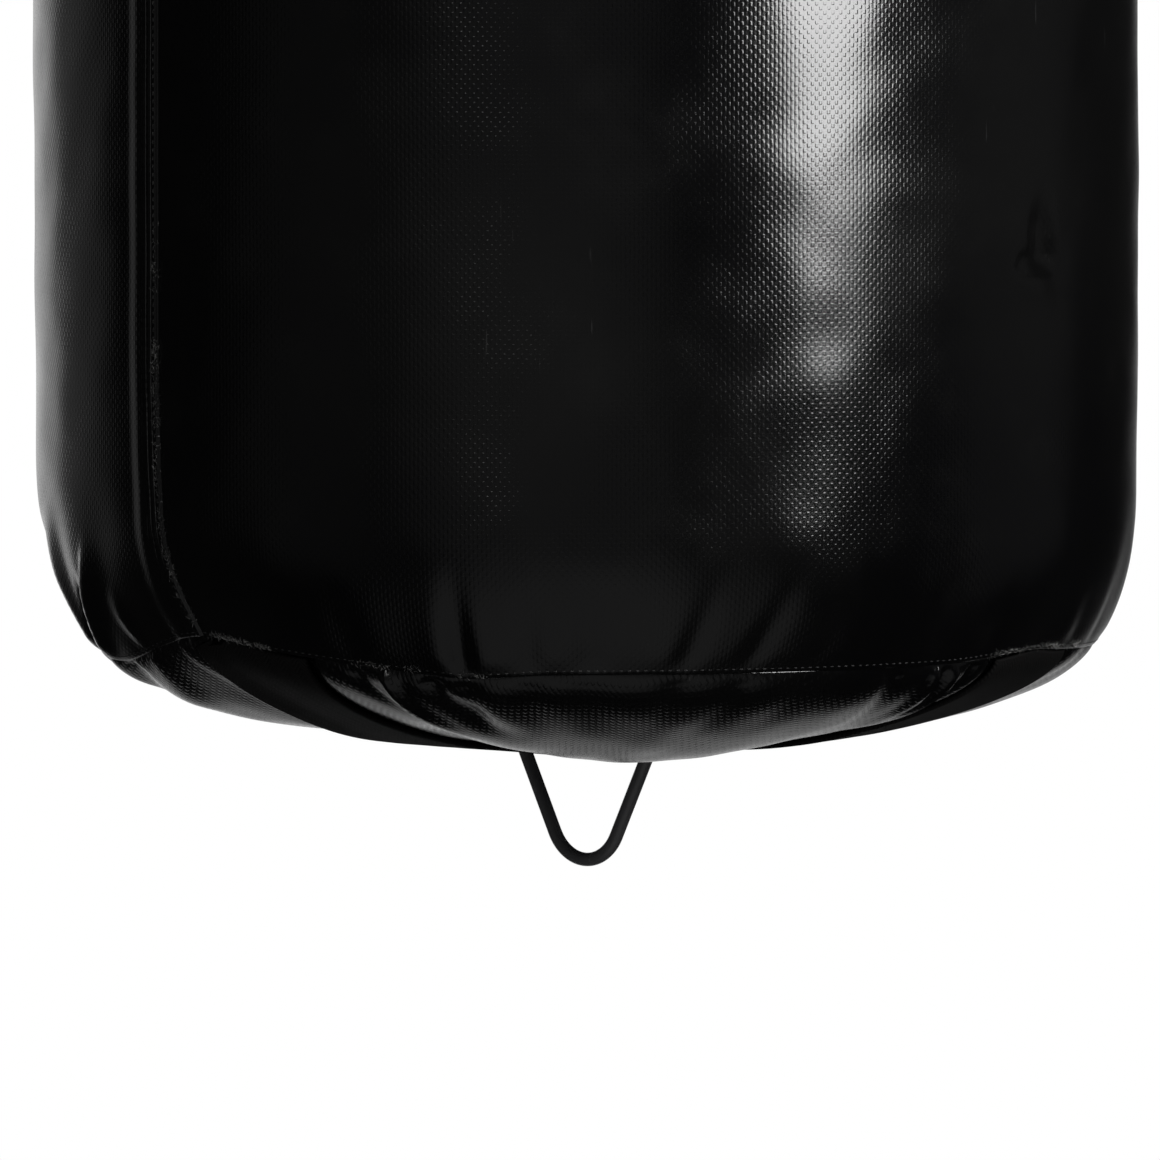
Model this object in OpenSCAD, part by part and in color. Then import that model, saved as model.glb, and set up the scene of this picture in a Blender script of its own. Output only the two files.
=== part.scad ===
// Hanging heavy bag: a stuffed bag of coated canvas on two webbing straps, a ring and a
// ball-bearing swivel, with a loose tie-down ring held by two crossed straps under it.
// Millimetres, +Z up. The origin is the centre of the eye that the bag hangs from. The
// rings' bars lie along X. Azimuths are counted from the front, -Y, towards +X.

/* [Bag] */
// Diameter of the stuffed bag
bag_d = 355.6; // [300:0.1:420]
// Height from the rim to the bottom seam
bag_h = 1067; // [700:1:1500]
// Thickness of the coated canvas
canvas_t = 1.2; // [0.8:0.1:2]
// Radius of the rounded rim
rim_r = 12; // [10:0.5:18]
// Height over which the side draws in to the bottom seam
hem_h = 50; // [35:1:70]
// How far the side has drawn in at the bottom seam
hem_draw = 12.8; // [8:0.1:18]
// How sharply the side turns in towards the seam
hem_power = 2.5; // [1.5:0.1:4]
// Width of the turned-in edge at each seam
seam_allowance = 10; // [6:0.5:12]
// Width of the lapped side seam
lap_w = 16; // [10:1:24]
// Azimuth of the lapped side seam
lap_azimuth = -7; // [-30:1:30]

/* [Bottom panel] */
// Depth of the bottom panel under its seam, where the straps hold it in
bottom_depth = 27.2; // [18:0.1:40]
// How much further the panel bulges between the straps
pillow = 7; // [0:0.5:9]
// Distance from a strap's edge at which the bulge starts
pillow_start = 6; // [4:0.5:12]
// Distance over which the bulge rises
pillow_rise = 26; // [15:1:40]

/* [Webbing] */
// Width of every strap
web_w = 47; // [38:1:50]
// Thickness of every strap
web_t = 1.8; // [1.2:0.1:2.4]
// Length of each strap end sewn to the side
tail_l = 110; // [80:5:160]
// Azimuth of the sewn strap ends, either side of the front and the back
tail_azimuth = 45; // [40:1:50]
// Height from the rim up to the hanging ring's bar
tent_h = 250; // [200:5:320]
// Turn of the inner bottom strap away from square to the outer one
bottom_strap_turn = 13; // [0:1:18]

/* [Hanging ring] */
// Wire diameter of the hanging ring
ring_wire_d = 8; // [6:0.5:10]
// Centreline radius of its two lower corners
ring_corner_r = 9; // [7:0.5:12]
// Height from its bar up to the jaw pin's axis
ring_drop = 52; // [46:1:65]

/* [Tie-down ring] */
// Wire diameter of the tie-down ring
tie_wire_d = 4.4; // [3.5:0.1:5.5]
// Centreline radius of its two upper corners
tie_corner_r = 3.7; // [3:0.1:5]
// Centreline radius of its rounded point
tie_apex_r = 15.2; // [11:0.1:17]
// Height from its bar down to the centreline of its point
tie_h = 40; // [35:0.5:48]

/* [Swivel] */
// Bore of the hanging eye
eye_bore_d = 16; // [12:0.5:20]
// Wall of the hanging eye around its bore
eye_wall = 9; // [6:0.5:12]
// Thickness of the hanging eye along its bore
eye_t = 12; // [10:0.5:16]
// Metal between the eye and the window below it
crown_t = 8; // [6:0.5:12]
// Thickness of each arm beside the window
arm_t = 6.7; // [5:0.1:9]
// Thickness of the housing's base, which carries the bearing
base_t = 12; // [9:0.5:16]
// Diameter of the jaw's shank
shank_d = 12; // [10:0.5:14]
// Width of the shank nut across its flats
nut_af = 19; // [17:1:24]
// Height of the shank nut
nut_h = 10; // [8:0.5:12]
// Diameter of the bearing balls
ball_d = 4.4; // [3.6:0.1:5]
// Thickness of each bearing race
race_t = 3; // [2.5:0.1:4]
// Open gap between the two races
race_gap = 1.8; // [1.4:0.1:2.2]
// Width of the races from bore to rim
race_w = 6.2; // [5.6:0.1:8]

/* [Jaw] */
// Diameter of the jaw's shoulder
shoulder_d = 30; // [26:1:36]
// Thickness of the jaw's shoulder
shoulder_t = 8; // [6:0.5:12]
// Metal between the shoulder and the top of the slot
jaw_web_t = 6; // [4:0.5:9]
// Thickness of each ear
ear_t = 6; // [5:0.5:8]
// Metal around the pin in each ear
ear_wall = 7; // [5:0.5:9]
// Diameter of the jaw pin
pin_d = 10; // [8:0.5:11]
// Diameter of the pin's head
pin_head_d = 16; // [14:0.5:19]
// Thickness of the pin's head
pin_head_t = 3.5; // [2.5:0.5:5]
// Wire diameter of the split pin
cotter_d = 1.5; // [1.2:0.1:1.8]

/* [Zip] */
// Length of the closed zip
zip_l = 250; // [200:5:280]
// Width of the two meshed rows of teeth
zip_w = 6; // [5:0.5:7]
// Spacing of the teeth along each row
tooth_pitch = 5; // [4:0.5:7]
// Height of the teeth
tooth_h = 2.6; // [2:0.1:3.2]
// Width of each tape
tape_w = 13; // [10:1:16]
// Thickness of each tape
tape_t = 0.8; // [0.6:0.1:1]
// Length of the slider
slider_l = 16; // [14:1:20]
// Thickness of the slider's two plates
plate_t = 1.2; // [1:0.1:1.6]
// Length of the pull tab
pull_l = 26; // [20:1:36]

/* [Fits] */
// Gap between soft layers that are sewn together
sew_gap = 0.2; // [0.1:0.05:0.3]
// Gap between pieces that rest on each other
rest_gap = 0.3; // [0.2:0.05:0.4]
// Radial gap of the turning shank, the bearing and the pins
run_gap = 0.1; // [0.05:0.01:0.2]
// Side play of the hanging ring between the ears
ring_play = 1; // [0.6:0.1:2]

/* [Hidden] */

// Colours
steel_colour = [0.55, 0.56, 0.58];
black_steel_colour = [0.10, 0.10, 0.11];
canvas_colour = [0.06, 0.06, 0.07];
web_colour = [0.03, 0.03, 0.03];
zip_colour = [0.12, 0.12, 0.13];
fill_colour = [0.45, 0.42, 0.38];

// Round quality: the bag, the ironwork and small pieces
bag_fn = 144;
iron_fn = 64;
small_fn = 32;

// Where a wire's straight part runs into a bend: how much thinner it is, and how far it goes
hair = 0.02;
bite = 0.2;

// Facet counts of the modelled soft skins
panel_sides = 60;
panel_rings = 9;
section_points = 7;

// Room left for the flat facets of the bottom panel's skin
facet_play = 0.6;

// Bearing and swivel
shank_r = shank_d / 2;
race_inner_r = shank_r + run_gap;
race_outer_r = race_inner_r + race_w;
ball_circle_r = (race_inner_r + race_outer_r) / 2;
ball_spacing = ball_d + 0.5;
ball_count = floor(360 / (2 * asin(ball_spacing / 2 / ball_circle_r)));
bearing_h = 2 * race_t + race_gap;
nut_corner_r = nut_af / 2 / cos(30);
thread_end = 1.5;
nut_play = 2;
window_corner_r = 1.5;
window_half = max(race_outer_r, nut_corner_r) + window_corner_r;
window_h = bearing_h + nut_h + thread_end + nut_play;
barrel_r = window_half + arm_t;
edge_chamfer = 1.5;
eye_r = eye_bore_d / 2 + eye_wall;
neck_r = min(eye_t, eye_r) * 0.7;

// Heights, from the hanging eye down
window_top_z = -(eye_r + crown_t);
base_top_z = window_top_z - window_h;
base_bottom_z = base_top_z - base_t;
shoulder_top_z = base_bottom_z - rest_gap;
shoulder_bottom_z = shoulder_top_z - shoulder_t;
slot_top_z = shoulder_bottom_z - jaw_web_t;
slot_play = 3;
ring_apex_r = pin_d / 2 + rest_gap + ring_wire_d / 2;
pin_z = slot_top_z - slot_play - ring_wire_d / 2 - ring_apex_r;
bar_z = pin_z - ring_drop;
rim_z = bar_z - tent_h;
seam_z = rim_z - bag_h;

// Jaw and pin
ear_gap = ring_wire_d + 2 * ring_play;
ear_outer_y = ear_gap / 2 + ear_t;
ear_r = pin_d / 2 + ear_wall;
cotter_y = ear_outer_y + 2 * cotter_d + 1;
pin_end_y = cotter_y + 2 * cotter_d;

// Bag
bag_r = bag_d / 2;
seam_r = bag_r - hem_draw;
rim_centre_r = bag_r - rim_r;
rim_centre_z = rim_z - rim_r;
strap_stack = web_t + rest_gap;
panel_r = seam_r - strap_stack;
lid_r = rim_centre_r - canvas_t - sew_gap;
hem_steps = 8;
rim_steps = 5;
lap_t = canvas_t;

// Hanging straps: the way each one runs from the bar over the rim
rim_wrap_r = rim_r + rest_gap + web_t / 2;
rim_rise = bar_z - rim_centre_z;
rim_lean = atan2(rim_centre_r, rim_rise) - asin((strap_bend_r(0) - rim_wrap_r)
  / norm([rim_centre_r, rim_rise]));
rim_touch_r = rim_centre_r + rim_wrap_r * cos(rim_lean);
rim_touch_z = rim_centre_z + rim_wrap_r * sin(rim_lean);
span_x = rim_touch_r * sin(tail_azimuth);
span_y = rim_touch_r * cos(tail_azimuth);
span_drop = bar_z - rim_touch_z;
overlap_end = 0.75;
twist_end = 0.78;
tail_steps = 3;
span_steps = 10;
bend_steps = 4;

// Hanging ring
strap_slant = atan(span_x / run_length(1));
ring_bar_half = web_w / 2 / cos(strap_slant) + span_x * bend_length(1) / run_length(1) + 1;

// Bottom straps and tie-down ring
strap_end_angle = 89;
strap_stations = 32;
tie_bar_half = web_w / 2 + rest_gap;
tie_lift = web_t + 2 * rest_gap + tie_wire_d;
tie_lift_spread = 0.8 * web_w;
tie_bar_z = seam_z - sew_gap / 2 - bottom_depth - rest_gap - web_t - rest_gap - tie_wire_d / 2;

// Zip
tape_z = rim_z - canvas_t - sew_gap - tape_t / 2;
slider_wall = 1.2;
slider_w = zip_w + 2 * rest_gap + 2 * slider_wall;
slit_w = slider_w + 2;
channel_h = tooth_h + 2 * rest_gap;
slider_x = zip_l / 2;
wedge_l = 4;
wedge_w = zip_w * 0.4;
wedge_back_x = slider_x + slider_l / 2 - wedge_l - 1;
chain_end_x = wedge_back_x - rest_gap;
tooth_head = tooth_pitch / 2 - rest_gap;
tooth_neck = tooth_head * 0.7;
tooth_overlap = 1;
cord_w = 0.8;
tape_overhang = 8;
tape_end_x = slider_x + slider_l / 2 + tape_overhang;
slit_end_x = tape_end_x - tape_overhang / 2;
plate_top_z = tape_z + channel_h / 2 + plate_t;
bridge_l = 8;
bridge_w = 2.4;
bridge_t = 1.2;
bridge_gap = 2.2;
pull_pin_d = 1.6;
pull_pin_z = plate_top_z + bridge_gap / 2;
pull_pin_x = slider_x - bridge_l / 2 + bridge_t + pull_pin_d / 2 + rest_gap;
pull_t = 1.4;
pull_arm_w = 1.6;
pull_w = bridge_w + 2 * rest_gap + 2 * pull_arm_w;
pull_neck = 7;
zip_recess_h = rim_z - (tape_z - channel_h / 2 - plate_t) + rest_gap;

// ---------------------------------------------------------------- helpers

function unit(v) = v / norm(v);
function mix(a, b, f) = a + (b - a) * f;
function ease(f) = f <= 0 ? 0 : f >= 1 ? 1 : f * f * (3 - 2 * f);
function radial(azimuth) = [sin(azimuth), -cos(azimuth), 0];
function tangent(azimuth) = [cos(azimuth), sin(azimuth), 0];
function half_turn(p) = [-p[0], -p[1], p[2]];
function reversed(list) = [for (i = [len(list) - 1 : -1 : 0]) list[i]];
function arc(centre_r, centre_z, r, from, to, steps) =
  [for (i = [0 : steps])
    let (a = mix(from, to, i / steps))
    [centre_r + r * cos(a), centre_z + r * sin(a)]];

// A band whose sections are an outer row of points and the same inner row run backwards.
// Both faces are split along the same diagonals, so a twisted band keeps its thickness.
module band(sections) {
  n = len(sections);
  k = len(sections[0]);
  m = k / 2;
  last = (n - 1) * k;
  skin = [for (i = [0 : n - 2], j = [0 : k - 1])
    let (a = i * k + j, b = i * k + (j + 1) % k)
    each j < m ? [[a, a + k, b], [b, a + k, b + k]] : [[a, a + k, b + k], [a, b + k, b]]];
  ends = [for (j = [0 : m - 2])
    let (a = j, b = j + 1, c = k - 2 - j, d = k - 1 - j)
    each [[a, b, c], [a, c, d], [last + a, last + c, last + b], [last + a, last + d, last + c]]];
  polyhedron(points = [for (s = sections) each s], faces = concat(skin, ends), convexity = 6);
}

// A closed skin through rings of points, from one pole to the other.
module ring_skin(first_pole, rings, last_pole) {
  n = len(rings);
  k = len(rings[0]);
  end = n * k + 1;
  start_cap = [for (j = [0 : k - 1]) [0, 1 + j, 1 + (j + 1) % k]];
  skin = [for (i = [0 : n - 2], j = [0 : k - 1])
    let (a = 1 + i * k + j, b = 1 + i * k + (j + 1) % k)
    each [[a, a + k, b], [b, a + k, b + k]]];
  end_cap = [for (j = [0 : k - 1]) [end, end - k + (j + 1) % k, end - k + j]];
  polyhedron(
    points = concat([first_pole], [for (r = rings) each r], [last_pole]),
    faces = concat(start_cap, skin, end_cap), convexity = 6);
}

// A flat V-ring: its bar along X through the origin and its rounded point towards +Z.
// Its straights are a hair thinner than its bends and run a little way into them.
module v_ring(bar_half, corner_r, apex_r, height, wire_d) {
  straight_d = wire_d - hair;
  apex_z = height - apex_r;
  up = apex_z - corner_r;
  centres = norm([bar_half, up]);
  lean = acos((apex_r - corner_r) / centres) - atan2(up, bar_half);
  side_l = sqrt(pow(centres, 2) - pow(apex_r - corner_r, 2));
  rotate([0, 90, 0])
    cylinder(d = straight_d, h = 2 * (bar_half + bite), center = true, $fn = iron_fn);
  for (side = [0, 1])
    mirror([side, 0, 0]) {
      translate([bar_half, 0, corner_r])
        rotate([90, 0, 0])
          rotate([0, 0, -90])
            rotate_extrude(angle = 90 + lean, $fn = iron_fn)
              translate([corner_r, 0]) circle(d = wire_d, $fn = iron_fn);
      translate([bar_half + corner_r * cos(lean), 0, corner_r + corner_r * sin(lean)])
        rotate([0, -lean, 0])
          translate([0, 0, -bite])
            cylinder(d = straight_d, h = side_l + 2 * bite, $fn = iron_fn);
    }
  translate([0, 0, apex_z])
    rotate([90, 0, 0])
      rotate([0, 0, lean])
        rotate_extrude(angle = 180 - 2 * lean, $fn = iron_fn)
          translate([apex_r, 0]) circle(d = wire_d, $fn = iron_fn);
}

// ---------------------------------------------------------------- swivel

module rounded_window(w, h, r) {
  square([w - 2 * r, h], center = true);
  square([w, h - 2 * r], center = true);
  for (x = [-1, 1], y = [-1, 1])
    translate([x * (w / 2 - r), y * (h / 2 - r)]) circle(r, $fn = small_fn);
}

module housing_body() {
  dome_h = crown_t;
  dome = [for (i = [0 : 6])
    let (a = 90 * i / 6)
    [neck_r + (barrel_r - neck_r) * sin(a), -eye_r - dome_h + dome_h * cos(a)]];
  rotate_extrude($fn = iron_fn)
    polygon(concat(
      [[0, -eye_bore_d / 2 - eye_wall / 2], [neck_r, -eye_bore_d / 2 - eye_wall / 2]],
      dome,
      [[barrel_r, base_bottom_z + edge_chamfer], [barrel_r - edge_chamfer, base_bottom_z],
       [0, base_bottom_z]]));
  rotate([90, 0, 0]) cylinder(r = eye_r, h = eye_t, center = true, $fn = iron_fn);
}

module swivel_eye() {
  color(steel_colour)
    difference() {
      housing_body();
      rotate([90, 0, 0])
        cylinder(d = eye_bore_d, h = 2 * eye_t, center = true, $fn = iron_fn);
      translate([0, 0, base_top_z + window_h / 2])
        rotate([90, 0, 0])
          linear_extrude(3 * barrel_r, center = true)
            rounded_window(2 * window_half, window_h, window_corner_r);
      translate([0, 0, base_bottom_z - 1])
        cylinder(r = shank_r + run_gap, h = base_t + 2, $fn = iron_fn);
    }
}

module race() {
  difference() {
    cylinder(r = race_outer_r, h = race_t, $fn = iron_fn);
    translate([0, 0, -1]) cylinder(r = race_inner_r, h = race_t + 2, $fn = iron_fn);
    translate([0, 0, race_t + race_gap / 2])
      rotate_extrude($fn = iron_fn)
        translate([ball_circle_r, 0]) circle(d = ball_d + run_gap, $fn = small_fn);
  }
}

module lower_race() {
  color(steel_colour) translate([0, 0, base_top_z]) race();
}

module upper_race() {
  color(steel_colour) translate([0, 0, base_top_z + bearing_h]) mirror([0, 0, 1]) race();
}

module bearing_balls() {
  color(steel_colour)
    for (i = [0 : ball_count - 1])
      rotate([0, 0, 360 * i / ball_count])
        translate([ball_circle_r, 0, base_top_z + race_t + race_gap / 2])
          sphere(d = ball_d, $fn = small_fn);
}

module shank_nut() {
  color(steel_colour)
    translate([0, 0, base_top_z + bearing_h])
      difference() {
        intersection() {
          cylinder(r = nut_corner_r, h = nut_h, $fn = 6);
          rotate_extrude($fn = iron_fn)
            polygon([[0, 0], [nut_af / 2, 0], [nut_corner_r, 1], [nut_corner_r, nut_h - 1],
                     [nut_af / 2, nut_h], [0, nut_h]]);
        }
        translate([0, 0, -1])
          cylinder(r = shank_r + run_gap, h = nut_h + 2, $fn = iron_fn);
      }
}

module ear_outline() {
  circle(ear_r, $fn = iron_fn);
  translate([-ear_r, 0]) square([2 * ear_r, shoulder_bottom_z - pin_z + 1]);
}

module swivel_jaw() {
  shank_top_z = base_top_z + bearing_h + nut_h + thread_end;
  color(steel_colour)
    difference() {
      union() {
        rotate_extrude($fn = iron_fn)
          polygon([
            [0, shoulder_bottom_z], [shoulder_d / 2 - edge_chamfer, shoulder_bottom_z],
            [shoulder_d / 2, shoulder_bottom_z + edge_chamfer],
            [shoulder_d / 2, shoulder_top_z - edge_chamfer],
            [shoulder_d / 2 - edge_chamfer, shoulder_top_z], [shank_r, shoulder_top_z],
            [shank_r, shank_top_z - 1], [shank_r - 1, shank_top_z], [0, shank_top_z]]);
        translate([0, 0, pin_z])
          rotate([90, 0, 0])
            linear_extrude(2 * ear_outer_y, center = true) ear_outline();
      }
      translate([0, 0, pin_z]) {
        rotate([90, 0, 0])
          cylinder(r = pin_d / 2 + run_gap, h = 3 * ear_outer_y, center = true, $fn = iron_fn);
        translate([-2 * ear_r, -ear_gap / 2, -2 * ear_r])
          cube([4 * ear_r, ear_gap, 2 * ear_r + slot_top_z - pin_z - ear_gap / 2]);
      }
      translate([0, 0, slot_top_z - ear_gap / 2])
        rotate([0, 90, 0])
          cylinder(d = ear_gap, h = 4 * ear_r, center = true, $fn = iron_fn);
    }
}

module jaw_pin() {
  head_y = -ear_outer_y - run_gap;
  color(steel_colour)
    translate([0, 0, pin_z])
      difference() {
        rotate([-90, 0, 0])
          rotate_extrude($fn = iron_fn)
            polygon([
              [0, head_y - pin_head_t], [pin_head_d / 2 - 1, head_y - pin_head_t],
              [pin_head_d / 2, head_y - pin_head_t + 1], [pin_head_d / 2, head_y],
              [pin_d / 2, head_y], [pin_d / 2, pin_end_y - 1],
              [pin_d / 2 - 1, pin_end_y], [0, pin_end_y]]);
        translate([0, cotter_y, 0])
          cylinder(r = cotter_d + 2 * run_gap, h = 2 * pin_d, center = true, $fn = small_fn);
      }
}

// The split pin's legs are a hair thinner than its loop and its bends, which they run into.
module cotter_leg(spread) {
  leg_l = pin_d + cotter_d;
  translate([0, 0, -leg_l]) {
    cylinder(d = cotter_d - hair, h = leg_l + cotter_d / 2, $fn = small_fn);
    sphere(d = cotter_d + hair, $fn = small_fn);
    rotate([0, 180 - spread, 0])
      cylinder(d = cotter_d - hair, h = 3 * cotter_d, $fn = small_fn);
  }
}

module split_pin() {
  loop_r = 1.8 * cotter_d;
  leg_x = cotter_d / 2 + run_gap / 2;
  opening = asin(leg_x / loop_r);
  top_z = pin_z + pin_d / 2 + cotter_d / 2;
  color(steel_colour)
    translate([0, cotter_y, 0]) {
      for (side = [0, 1])
        mirror([side, 0, 0]) translate([leg_x, 0, top_z]) cotter_leg(50);
      translate([0, 0, top_z + loop_r * cos(opening)])
        rotate([90, 0, 0])
          rotate([0, 0, -90 + opening])
            rotate_extrude(angle = 360 - 2 * opening, $fn = small_fn)
              translate([loop_r, 0]) circle(d = cotter_d, $fn = small_fn);
    }
}

module hanging_ring() {
  color(black_steel_colour)
    translate([0, 0, bar_z])
      v_ring(ring_bar_half, ring_corner_r, ring_apex_r, ring_drop + ring_apex_r, ring_wire_d);
}

// ---------------------------------------------------------------- hanging straps

// Each strap is one length of webbing. It is sewn to the side at the front, runs up to the
// bar, wraps over it slantwise and runs down to the opposite corner at the back. Strap b
// lies over strap a on the bar. layer is 0 for strap a and 1 for strap b.

function strap_bend_r(layer) = ring_wire_d / 2 + rest_gap + web_t / 2 + layer * strap_stack;

// Slope of the span from the vertical, seen along the bar.
function span_lean(layer) =
  atan2(span_y, span_drop) - asin(strap_bend_r(layer) / norm([span_y, span_drop]));

// Lengths, seen along the bar: over a quarter of the bar, and from the rim to the bar's top.
function bend_length(layer) = strap_bend_r(layer) * (90 - span_lean(layer)) * PI / 180;
function run_length(layer) =
  bend_length(layer) + sqrt(pow(norm([span_y, span_drop]), 2) - pow(strap_bend_r(layer), 2));

// A station along a strap: centre, direction across, outward normal, half width, crowning.
function tail_stations(azimuth) =
  [for (i = [0 : tail_steps])
    let (r = bag_r + rest_gap + web_t / 2, z = rim_centre_z - tail_l * (1 - i / tail_steps))
    [radial(azimuth) * r + [0, 0, z], tangent(azimuth), radial(azimuth), web_w / 2, 1 / r]];

function rim_stations(azimuth) =
  [for (i = [1 : bend_steps])
    let (
      a = rim_lean * i / bend_steps,
      r = rim_centre_r + rim_wrap_r * cos(a),
      z = rim_centre_z + rim_wrap_r * sin(a))
    [radial(azimuth) * r + [0, 0, z], tangent(azimuth),
     radial(azimuth) * cos(a) + [0, 0, sin(a)], web_w / 2, cos(a) / r]];

function span_stations(azimuth, side, layer) =
  let (
    lean = span_lean(layer),
    wide = web_w / 2 / cos(strap_slant),
    rim_point = radial(azimuth) * rim_touch_r + [0, 0, rim_touch_z],
    bar_point = [side * span_x * bend_length(layer) / run_length(layer),
                 -strap_bend_r(layer) * cos(lean), bar_z + strap_bend_r(layer) * sin(lean)],
    along = unit(bar_point - rim_point))
  [for (i = [1 : span_steps])
    let (
      f = i / span_steps,
      twist = ease(f / twist_end),
      across = unit(mix(tangent(azimuth), [1, 0, 0], twist)),
      normal = unit(cross(across, along)),
      clear = layer * strap_stack * (1 - f) * ease(f / overlap_end))
    [mix(rim_point, bar_point, f) + normal * clear, across, normal,
     mix(web_w / 2, wide, twist), mix(cos(rim_lean) / rim_touch_r, 0, ease(1.3 * f))]];

function bend_stations(side, layer) =
  [for (i = [1 : bend_steps])
    let (
      lean = span_lean(layer),
      e = mix(lean, 90, i / bend_steps),
      r = strap_bend_r(layer),
      x = side * span_x * r * (90 - e) * PI / 180 / run_length(layer))
    [[x, -r * cos(e), bar_z + r * sin(e)], [1, 0, 0], [0, -cos(e), sin(e)],
     web_w / 2 / cos(strap_slant), 0]];

function front_stations(side, layer) =
  let (azimuth = side * tail_azimuth)
  concat(tail_stations(azimuth), rim_stations(azimuth),
         span_stations(azimuth, side, layer), bend_stations(side, layer));

// The back half is the front half turned half round; the bar's top station isn't repeated.
function back_stations(front) =
  [for (i = [len(front) - 2 : -1 : 0])
    let (s = front[i])
    [half_turn(s[0]), -half_turn(s[1]), half_turn(s[2]), s[3], s[4]]];

function strap_section(s) =
  let (
    row = [for (j = [0 : section_points - 1])
      let (v = (2 * j / (section_points - 1) - 1) * s[3])
      s[0] + s[1] * v - s[2] * (s[4] * v * v / 2)])
  concat([for (p = row) p + s[2] * web_t / 2], reversed([for (p = row) p - s[2] * web_t / 2]));

module hanging_strap(side, layer) {
  front = front_stations(side, layer);
  color(web_colour)
    band([for (s = concat(front, back_stations(front))) strap_section(s)]);
}

module hanging_strap_a() {
  hanging_strap(-1, 0);
}

module hanging_strap_b() {
  hanging_strap(1, 1);
}

// ---------------------------------------------------------------- bag

// Radius of the side's outer face at a height above the bottom seam.
function hem_radius(h) = bag_r - hem_draw * pow(1 - min(h, hem_h) / hem_h, hem_power);

function hem_line(inset, from_h) =
  [for (i = [0 : hem_steps])
    let (h = mix(from_h, hem_h, i / hem_steps))
    [hem_radius(h) - inset, seam_z + h]];

module side_profile() {
  low = sew_gap / 2;
  polygon(concat(
    [[seam_r - seam_allowance, seam_z + low]],
    hem_line(0, low),
    arc(rim_centre_r, rim_centre_z, rim_r, 0, 90, rim_steps),
    [[rim_centre_r - canvas_t, rim_z], [rim_centre_r - canvas_t, rim_z - seam_allowance],
     [rim_centre_r, rim_z - seam_allowance]],
    arc(rim_centre_r, rim_centre_z, rim_r - canvas_t, 90, 0, rim_steps),
    reversed(hem_line(canvas_t, low + canvas_t)),
    [[seam_r - seam_allowance, seam_z + low + canvas_t]]));
}

module lap_profile() {
  low = sew_gap / 2;
  polygon(concat(
    hem_line(canvas_t / 2, low),
    [[bag_r - canvas_t / 2, rim_centre_z], [bag_r + lap_t, rim_centre_z]],
    reversed(hem_line(-lap_t, low))));
}

module side_panel() {
  lap_angle = lap_w / bag_r * 180 / PI;
  color(canvas_colour) {
    rotate_extrude($fn = bag_fn) side_profile();
    rotate([0, 0, lap_azimuth - 90 - lap_angle / 2])
      rotate_extrude(angle = lap_angle, $fn = bag_fn) lap_profile();
  }
}

module top_panel() {
  color(canvas_colour)
    difference() {
      rotate_extrude($fn = bag_fn)
        polygon([[0, rim_z - canvas_t], [lid_r - canvas_t, rim_z - canvas_t],
                 [lid_r - canvas_t, rim_z - seam_allowance], [lid_r, rim_z - seam_allowance],
                 [lid_r, rim_z], [0, rim_z]]);
      translate([-slit_end_x, -slit_w / 2, rim_z - 2 * canvas_t])
        cube([2 * slit_end_x, slit_w, 3 * canvas_t]);
    }
}

module filling() {
  step_z = rim_z - max(seam_allowance, rim_r) - rest_gap;
  lid_inner_r = lid_r - canvas_t - rest_gap;
  inset = canvas_t + rest_gap;
  low = sew_gap / 2 + canvas_t + rest_gap;
  neck = seam_r - seam_allowance - rest_gap;
  floor_points = [for (i = [0 : panel_rings])
    let (r = neck * i / panel_rings)
    [r, panel_z(r) + (inset + facet_play) * norm([1, dome_slope(r)])]];
  color(fill_colour)
    difference() {
      rotate_extrude($fn = bag_fn)
        polygon(concat(
          floor_points,
          [[neck, seam_z + low]],
          hem_line(inset, low),
          [[bag_r - inset, step_z], [lid_inner_r, step_z],
           [lid_inner_r, rim_z - inset], [0, rim_z - inset]]));
      translate([-tape_end_x - rest_gap, -slit_w / 2 - tape_w, rim_z - zip_recess_h])
        cube([2 * (tape_end_x + rest_gap), slit_w + 2 * tape_w, zip_recess_h]);
    }
}

// ---------------------------------------------------------------- zip

module zip_tapes() {
  color(zip_colour)
    for (side = [0, 1])
      mirror([0, side, 0])
        translate([-tape_end_x, zip_w / 2 + run_gap, tape_z - tape_t / 2])
          cube([2 * tape_end_x, tape_w, tape_t]);
}

// One row of teeth on its cord, the teeth reaching past the middle to mesh with the other row.
module tooth_row(shift) {
  count = floor((chain_end_x + zip_l / 2 - shift - tooth_head) / tooth_pitch);
  reach = zip_w / 2 + tooth_overlap;
  translate([-zip_l / 2, zip_w / 2 - cord_w, -tooth_h / 4])
    cube([chain_end_x + zip_l / 2, cord_w, tooth_h / 2]);
  for (i = [0 : count])
    translate([-zip_l / 2 + shift + tooth_head / 2 + i * tooth_pitch, zip_w / 2, -tooth_h / 2])
      linear_extrude(tooth_h)
        polygon([[-tooth_neck / 2, 0], [-tooth_neck / 2, -reach / 2], [-tooth_head / 2, -reach],
                 [tooth_head / 2, -reach], [tooth_neck / 2, -reach / 2], [tooth_neck / 2, 0]]);
}

module zip_teeth() {
  color(zip_colour)
    translate([0, 0, tape_z]) {
      tooth_row(0);
      mirror([0, 1, 0]) tooth_row(tooth_pitch / 2);
    }
}

// The slider's section: two plates whose turned edges guide the teeth and leave a slit
// on each side for the tape.
module slider_section() {
  lip_h = (channel_h - tape_t) / 2 - rest_gap;
  for (side = [0, 1])
    mirror([0, side]) {
      translate([-slider_w / 2, channel_h / 2]) square([slider_w, plate_t]);
      for (x = [-slider_w / 2, slider_w / 2 - slider_wall])
        translate([x, channel_h / 2 - lip_h]) square([slider_wall, lip_h]);
    }
}

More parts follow.
